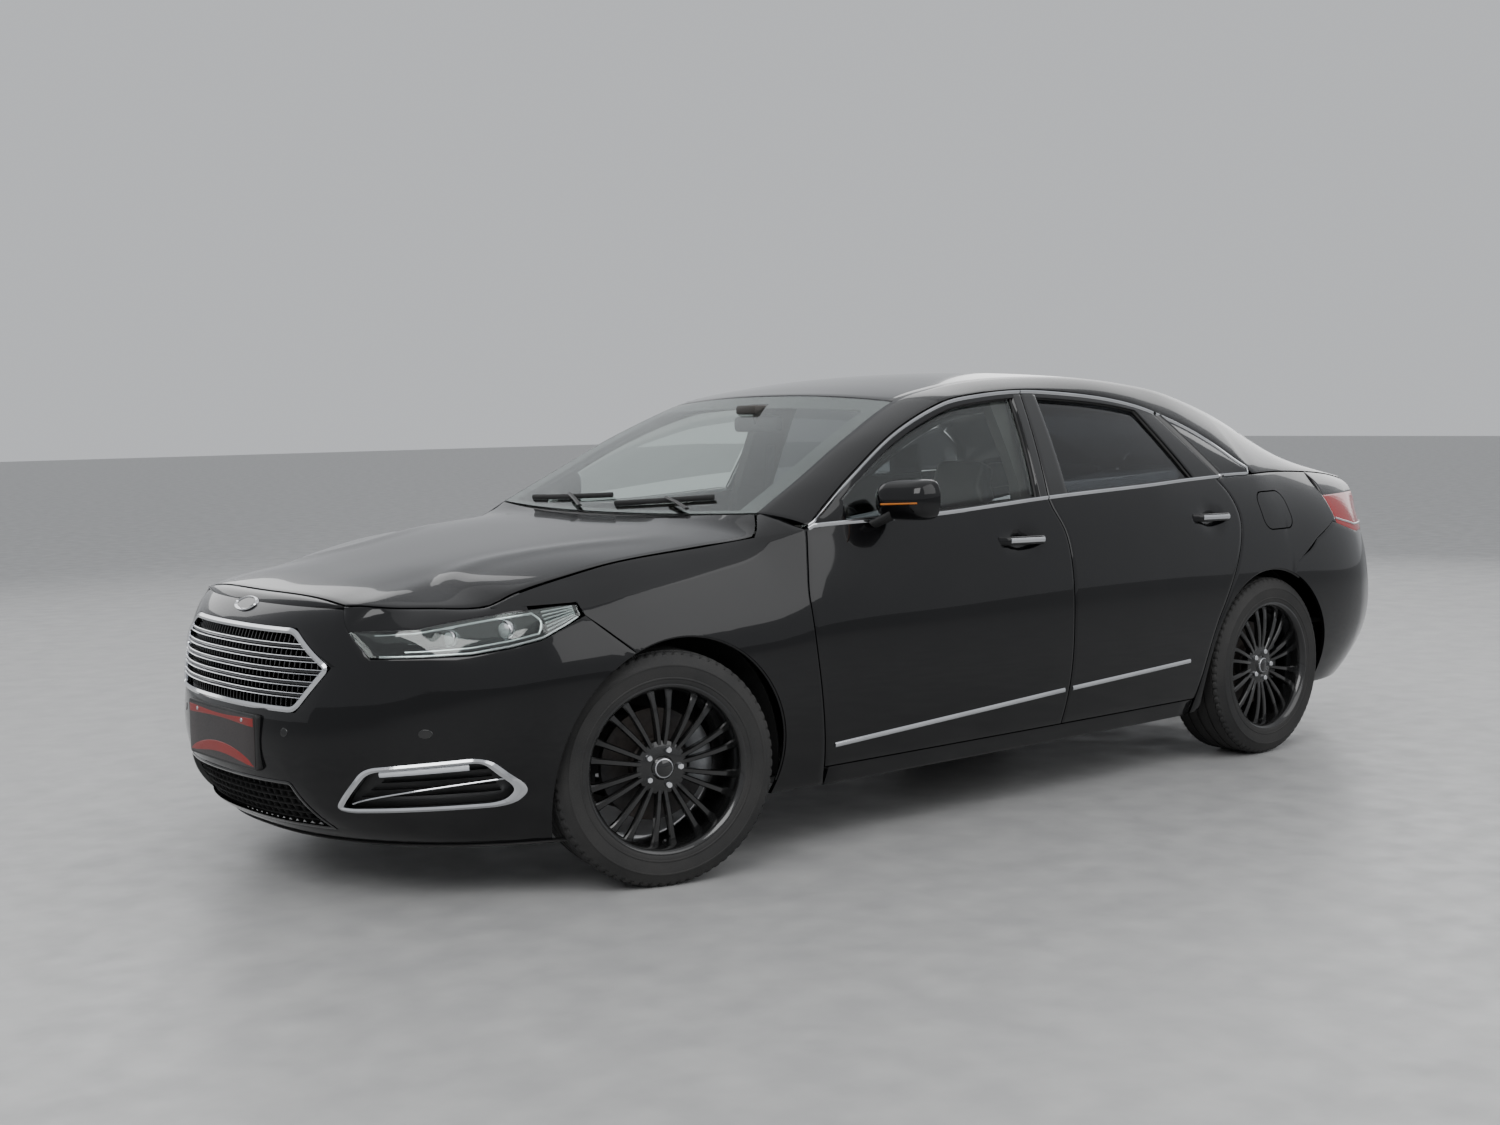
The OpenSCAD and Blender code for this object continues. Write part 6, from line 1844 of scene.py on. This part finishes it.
@dataclass
class DoorMirror:
    """One door mirror: head, foot, glass and indicator line."""

    left: bool
    inner_y: float = 858.0
    outer_y: float = 1050.0
    sides: int = 32

    def rear_x(self, s: float) -> float:
        """Returns x of the head's flat rear face at a share s of its width."""
        return lerp(594, 560, s)

    def build(self) -> None:
        """Builds the mirror on its door."""
        body = f"front_{side_name(self.left)}_door"
        name = f"{side_name(self.left)}_mirror"
        rows = []
        for n in range(25):
            s = n / 24
            fill = max(0.04, (1 - abs(2 * s - 1) ** 5)) ** 0.32
            y, zc = lerp(self.inner_y, self.outer_y, s), lerp(1080, 1084, s)
            half, deep = 66 * fill, lerp(92, 76, s) * fill
            row = []
            for k in range(self.sides):
                a = 2 * math.pi * k / self.sides
                c, q = math.cos(a), math.sin(a)
                x = self.rear_x(s) + 14 + (deep * c ** 0.8 if c > 0 else -14 * fill * abs(c) ** 0.45)
                row.append((x, y, zc + half * math.copysign(abs(q) ** 0.75, q)))
            rows.append(row)
        verts, faces = ring_mesh(rows, closed=False)
        head = make_piece(name + "_head", flipped(verts, self.left), faces, PAINT, body, "body_paint",
                          angle=45)
        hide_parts(name)
        span = self.outer_y - self.inner_y
        loop = rounded([(self.inner_y + 12, 1026), (self.inner_y + 12, 1134), (self.outer_y - 12, 1130),
                        (self.outer_y - 12, 1034)], 26, 6)
        verts, faces = plug(loop, lambda y, z, t: (self.rear_x((y - self.inner_y) / span) - 2.5 + t, y, z), 0,
                            6)
        make_piece(name + "_glass", flipped(verts, self.left), faces, MIRROR, body, "clear_glass")
        line = [(self.rear_x(s) + 14 + lerp(94, 78, s), lerp(self.inner_y + 60, self.outer_y - 22, s),
                 lerp(1070, 1074, s))
                for s in steps(10)]
        tube_piece(name + "_indicator", flipped(line, self.left), (3, 3), AMBER, body, "lamp_lens")
        foot = [(676, 858, 1004), (664, 880, 1016), (648, 905, 1030), (640, 925, 1046)]
        tube_piece(name + "_foot", flipped(foot, self.left), (12, 34), PLASTIC, body, "body_paint",
                   up=(1, 0, 0), sides=20)


def cushion_mesh(size: Sequence[float], place: Callable, crown: float, seams: Sequence[float] = (),
                 n: int = 26) -> Shape:
    """Returns a crowned, closed cushion whose sides pull in between its corners.

    Args:
        size: Half sizes along the cushion's own three axes; the last is its thickness.
        place: Puts a point of the cushion's own axes into the car.
        crown: How far its faces swell in the middle.
        seams: Places across it, from -1 to 1, where sewn channels run.
        n: Cells along each side.
    """
    verts: list[Point] = []
    index: dict = {}
    faces = []

    def point(u: float, v: float, w: float) -> int:
        key = (round(u, 5), round(v, 5), round(w, 5))
        if key not in index:
            q = [u, v, w]
            big = (abs(u) ** 7 + abs(v) ** 7 + abs(w) ** 7) ** (1 / 7)
            q = [c / big for c in q]
            swell = crown * (1 - abs(q[0]) ** 2.2) * (1 - abs(q[1]) ** 2.2)
            pull = 1 - 0.035 * ((1 - q[0] ** 2) * abs(q[1]) ** 4
                                + (1 - q[1] ** 2) * abs(q[0]) ** 4) * (1 - abs(q[2]))
            for s in seams:
                swell -= crown * 0.55 * math.exp(-((q[0] - s) / 0.035) ** 2)
            z = q[2] * (size[2] + (swell if abs(q[2]) > 0.2 else 0))
            index[key] = len(verts)
            verts.append(place(q[0] * size[0] * pull, q[1] * size[1] * pull, z))
        return index[key]

    stops = [2 * s - 1 for s in steps(n)]
    for axis in range(3):
        for s in (-1, 1):
            for i in range(n):
                for j in range(n):
                    quad = []
                    for a, b in ((i, j), (i + 1, j), (i + 1, j + 1), (i, j + 1)):
                        p = [stops[a], stops[b]]
                        p.insert(axis, s)
                        quad.append(point(*p))
                    faces.append(quad)
    return verts, faces


@dataclass
class Seat:
    """One padded seat with its back, headrest and stitching."""

    name: str
    node: str
    hip: Point
    width: float
    length: float
    back: float
    lean: float
    heads: Sequence[float]
    seams: Sequence[float]

    def build(self) -> None:
        """Builds the seat's padded pieces, which ride on the car body."""
        hx, hy, hz = self.hip
        lean = math.radians(self.lean)

        def base(a: float, b: float, c: float) -> Point:
            return (hx + self.length / 2 + b, hy + a, hz - 62 + c + 0.05 * b)

        def up_back(a: float, b: float, c: float) -> Point:
            along, out = self.back / 2 + b, c - 62
            return (hx - along * math.sin(lean) + out * math.cos(lean), hy + a,
                    hz + along * math.cos(lean) + out * math.sin(lean))

        half = self.width / 2 - 4
        pieces = [("cushion", cushion_mesh((half, self.length / 2 - 4, 52), base, 12, self.seams)),
                  ("backrest", cushion_mesh((half, self.back / 2 - 6, 52), up_back, 12, self.seams))]
        posts = []
        for n, y in enumerate(self.heads):
            def head(a: float, b: float, c: float, y0: float = y) -> Point:
                return up_back(y0 + a, self.back / 2 + 100 + b, c)

            pieces.append((f"headrest_{n}", cushion_mesh((118, 72, 36), head, 8, (), 16)))
            posts += [tube_mesh([up_back(y + dy, self.back / 2 + d, 0) for d in (-20, 20, 70)], 6, 8,
                                up=(0, 1, 0))
                      for dy in (-45, 45)]
        first = None
        for label, (verts, faces) in pieces:
            piece = make_piece(f"{self.name}_{label}", verts, faces, LEATHER, ROOT, "seat_leather", angle=70)
            first = first or piece
        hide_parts(self.node)
        make_piece(f"{self.name}_posts", *join(posts), SATIN_METAL, ROOT, "chrome_trim")
        stand = box_mesh((hx + 40, hy - self.width / 3, 217),
                         (hx + self.length - 90, hy + self.width / 3, hz - 108))
        make_piece(f"{self.name}_base", *stand, PLASTIC, ROOT, "cabin_plastic", edge=8)


@dataclass
class Cabin:
    """The seats, the dashboard's fittings, the belts and the inside mirror."""

    seat_y: float = 375.0

    def build(self) -> None:
        """Builds everything inside the cabin."""
        for y, label in ((self.seat_y, "left"), (-self.seat_y, "right")):
            Seat(f"{label}_front_seat", "front_seats", (80, y, 470), 500, 480, 600, 22, (0,),
                 (-0.5, 0.5)).build()
        Seat("rear_seat", "rear_seat", (-1010, 0, 470), 1150, 470, 560, 24, (-390, 0, 390),
             (-0.72, -0.28, 0.28, 0.72)).build()
        self.dashboard()
        self.belts()
        self.inside_mirror()
        floor = box_mesh((-1020, -700, 216.5), (1030, 700, 222))
        make_piece("cabin_carpet", *floor, CARPET, ROOT, "liner_plastic", edge=2)

    def dashboard(self) -> None:
        """Builds the instrument hood, screen, vents and console trim."""
        hood = [(664 + 12 * math.cos(a), 375 + 175 * math.cos(a), 948 + 34 * math.sin(a))
                for a in (math.pi * k / 16 for k in range(17))]
        tube_piece("instrument_hood", hood, (46, 9), CABIN, ROOT, "cabin_plastic", up=(0, 0, 1), sides=14)
        face = rounded([(235, 905), (235, 972), (515, 972), (515, 905)], 18)
        make_piece("instruments", *plug(face, lambda y, z, t: (652 + t, y, z), 0, 10), GLOSS_BLACK, ROOT,
                   "cabin_plastic")
        face = rounded([(-135, 880), (-135, 985), (135, 985), (135, 880)], 12)
        make_piece("centre_screen", *plug(face, lambda y, z, t: (640 + t, y, z), 0, 14), GLOSS_BLACK, ROOT,
                   "cabin_plastic", edge=1.5)
        slats = [tube_mesh([(652, y0, z), (652, y0 + 120, z)], (5, 2), 8) for y0 in (150, 560, -270, -680)
                 for z in (850, 862, 874)]
        make_piece("vents", *join(slats), SATIN_METAL, ROOT, "chrome_trim")
        tube_piece("dash_trim", [(648, y, 835) for y in range(-680, 681, 80)], (6, 5), SATIN_METAL, ROOT,
                   "chrome_trim")
        lid = box_mesh((200, -92, 571), (560, 92, 600))
        make_piece("console_lid", *lid, LEATHER, ROOT, "seat_leather", edge=9)

    def belts(self) -> None:
        """Builds the front seat belts hanging by the centre pillars."""
        for left in (True, False):
            path = [(-208, 655, 1225), (-212, 672, 1100), (-216, 690, 900), (-220, 700, 700),
                    (-222, 700, 480),
                    (-224, 700, 300)]
            tube_piece(f"{side_name(left)}_front_belt", flipped(path, left), (23, 1.2), SEAL, ROOT,
                       "cabin_plastic",
                       up=(0, 1, 0), sides=8)

    def inside_mirror(self) -> None:
        """Builds the sensor box behind the windscreen, and the mirror under it."""
        box = box_mesh((372, -55, 1352), (480, 55, 1388))
        make_piece("sensor_box", *box, CABIN, ROOT, "cabin_plastic", edge=10)
        loop = rounded([(-120, 1290), (-120, 1345), (120, 1345), (120, 1290)], 22)
        make_piece("inside_mirror", *plug(loop, lambda y, z, t: (405 + t, y, z), 0, 24), GLOSS_BLACK, ROOT,
                   "cabin_plastic", edge=2)
        tube_piece("mirror_arm", [(425, 0, 1320), (435, 0, 1345), (430, 0, 1365)], 8, CABIN, ROOT,
                   "cabin_plastic")


@dataclass
class Fittings:
    """The wipers, roof fin, side strips and the rear plate."""

    def build(self) -> None:
        """Builds the small outside fittings."""
        self.wipers()
        self.fin()
        self.rear_plate()
        for left in (True, False):
            for is_front in (True, False):
                self.side_strip(left, is_front)

    def wipers(self) -> None:
        """Builds the two wipers lying on the windscreen."""
        grid = cross_grid(SCREEN, -9)
        low = cross_grid(SCREEN, -16)
        last = len(grid) - 1
        for n, (c0, c1) in enumerate(((5, 18), (19, 31))):
            blade = [tuple((Vector(grid[last - 3][c]).lerp(Vector(grid[last - 6][c]), (c - c0) / (c1 - c0))))
                     for c in range(c0, c1)]
            tube_piece(f"wiper_blade_{n}", blade, (4, 9), SEAL, ROOT, "frame_paint", sides=8)
            mid = blade[len(blade) // 2]
            foot = low[last][min(35, c0 + 10)]
            arm = [foot, tuple(Vector(foot).lerp(Vector(mid), 0.5) + Vector((0, 0, 8))),
                   (mid[0], mid[1], mid[2] + 10)]
            tube_piece(f"wiper_arm_{n}", arm, (8, 4), PLASTIC, ROOT, "frame_paint", sides=10)

    def fin(self) -> None:
        """Builds the aerial fin on the roof."""
        rows = []
        for s in steps(12):
            x, up = lerp(-1205, -1050, s), 56 * (1 - s) ** 0.75 * min(1.0, s * 9 + 0.2)
            z = curve([(r[1], r[2]) for r in ROOF], x) - 3
            rows.append([(x - 26 * h * (1 - s),
                          w * 17 * (1 - h ** 1.5) * (0.35 + 0.65 * math.sin(math.pi * min(1, 0.2 + s * 0.8))),
                          z + up * h) for w,
                          h in ((-1, 0), (-1, 0.3), (-0.9, 0.7), (0, 1), (0.9, 0.7), (1, 0.3), (1, 0))])
        verts, faces = ring_mesh(rows, closed=False)
        make_piece("roof_fin", verts, faces, PAINT, ROOT, "body_paint", angle=50)

    def rear_plate(self) -> None:
        """Builds the blank rear plate on the boot lid, with its red band, and the rear badge."""
        def flat(y: float, z: float, t: float = 0) -> Point:
            return (-2478 + t + 4 * (y / 220) ** 2, y, z)

        outline = rounded([(219, 762), (219, 876), (-219, 876), (-219, 762)], 9)
        make_piece("rear_plate_field", *plug(outline, flat, 0, 20), PLATE_DARK, "boot_lid", "liner_plastic",
                   edge=1)
        band = [(214, 852), (214, 872), (-214, 872), (-214, 852)]
        make_piece("rear_plate_band", *plug(band, flat, -1.4, 2), PLATE_RED, "boot_lid", "red_lens")
        make_piece("rear_badge", *plug(circle(0, 968, 56, 40, 19), lambda y, z, t: (-2450 + t, y, z), 0, 14),
                   CHROME, "boot_lid",
                   "chrome_trim", edge=1)

    def side_strip(self, left: bool, is_front: bool) -> None:
        """Builds the chrome strip low on one door."""
        line = ((-884, 417), (-122, 385), (900, 331))
        x0, x1 = (-172, 896) if is_front else (-884, -214)
        path = [side_at(x, broken(line, x), -1.5) for x in (lerp(x0, x1, s) for s in steps(30))]
        label = f"{'front' if is_front else 'rear'}_{side_name(left)}"
        tube_piece(f"{label}_side_strip", flipped(path, left), (3.5, 8), CHROME, label + "_door",
                   "chrome_trim",
                   sides=12)


CAD_FINISHES = {
    "underbody": PLASTIC, "centre_pillars": CABIN, "wheel_housings": PLASTIC, "front_suspension": IRON,
    "rear_suspension": IRON, "engine_and_radiator": ALLOY, "exhaust": SATIN_METAL, "dashboard": CABIN,
    "steering_wheel": LEATHER, "left_knuckle": IRON, "right_knuckle": IRON,
}


def dress_frame() -> None:
    """Gives every CAD node that stays in view its own finish."""
    for name, finish in CAD_FINISHES.items():
        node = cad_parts[name]
        if not node.material_slots:
            node.data.materials.append(finish.build())
        for place in node.material_slots:
            place.material = finish.build()


@dataclass
class Studio:
    """The floor, the soft lights and the camera."""

    eye: Point = (4.72500507, 5.05107693, 1.37031457)
    azimuth: float = 49.87016651
    elevation: float = 4.73522577
    roll: float = -0.89718252
    lens: float = 44.11
    floor_half: float = 60.0

    def build(self) -> None:
        """Builds the stage round the car."""
        bm = bmesh.new()
        bmesh.ops.create_grid(bm, x_segments=8, y_segments=8, size=self.floor_half)
        mesh = bpy.data.meshes.new("floor")
        bm.to_mesh(mesh)
        bm.free()
        mesh.materials.append(FLOOR.build())
        floor = bpy.data.objects.new("floor", mesh)
        bpy.context.collection.objects.link(floor)
        world = bpy.data.worlds.new("studio")
        world.use_nodes = True
        world.node_tree.nodes["Background"].inputs[0].default_value = (0.8, 0.82, 0.85, 1)
        world.node_tree.nodes["Background"].inputs[1].default_value = 0.75
        bpy.context.scene.world = world
        for name, place, size, power in (("key", (6.5, 4.0, 6.0), 5.0, 380),
                                         ("side", (-1.5, 8.0, 6.0), 8.0, 330),
                                         ("top", (0.0, 0.0, 7.5), 9.0, 90),
                                         ("rear", (-8.0, -3.0, 5.0), 7.0, 260),
                                         ("right", (1.5, -8.0, 5.5), 7.0, 240)):
            light = bpy.data.lights.new(name, "AREA")
            light.size, light.energy = size, power
            lamp = bpy.data.objects.new(name, light)
            lamp.location = place
            lamp.rotation_euler = (Vector((0, 0, 0.6)) - Vector(place)).to_track_quat("-Z", "Y").to_euler()
            bpy.context.collection.objects.link(lamp)
        self.camera()

    def camera(self) -> None:
        """Places the camera."""
        az, el, roll = (math.radians(v) for v in (self.azimuth, self.elevation, self.roll))
        back = Vector((math.cos(az) * math.cos(el), math.sin(az) * math.cos(el), math.sin(el)))
        right = Vector((-math.sin(az), math.cos(az), 0))
        up = back.cross(right)
        r = right * math.cos(roll) + up * math.sin(roll)
        u = up * math.cos(roll) - right * math.sin(roll)
        data = bpy.data.cameras.new("camera")
        data.lens, data.sensor_width, data.clip_end = self.lens, 36, 300
        cam = bpy.data.objects.new("camera", data)
        cam.matrix_world = Matrix(((r.x, u.x, back.x, self.eye[0]), (r.y, u.y, back.y, self.eye[1]),
                                   (r.z, u.z, back.z, self.eye[2]), (0, 0, 0, 1)))
        bpy.context.collection.objects.link(cam)
        bpy.context.scene.camera = cam


def main() -> None:
    """Builds the car, piece by piece, and the studio round it."""
    dress_frame()
    FixedPanels().build()
    Glazing().build()
    Bonnet().build()
    BootLid().build()
    build_flap()
    Nose().build()
    Tail().build()
    for left in (True, False):
        Headlamp(left).build()
        DoorMirror(left).build()
        for is_front in (True, False):
            Door(left, is_front).build()
            Wheel(left, is_front).build()
    Cabin().build()
    Fittings().build()
    Studio().build()


if __name__ == "__main__":
    main()
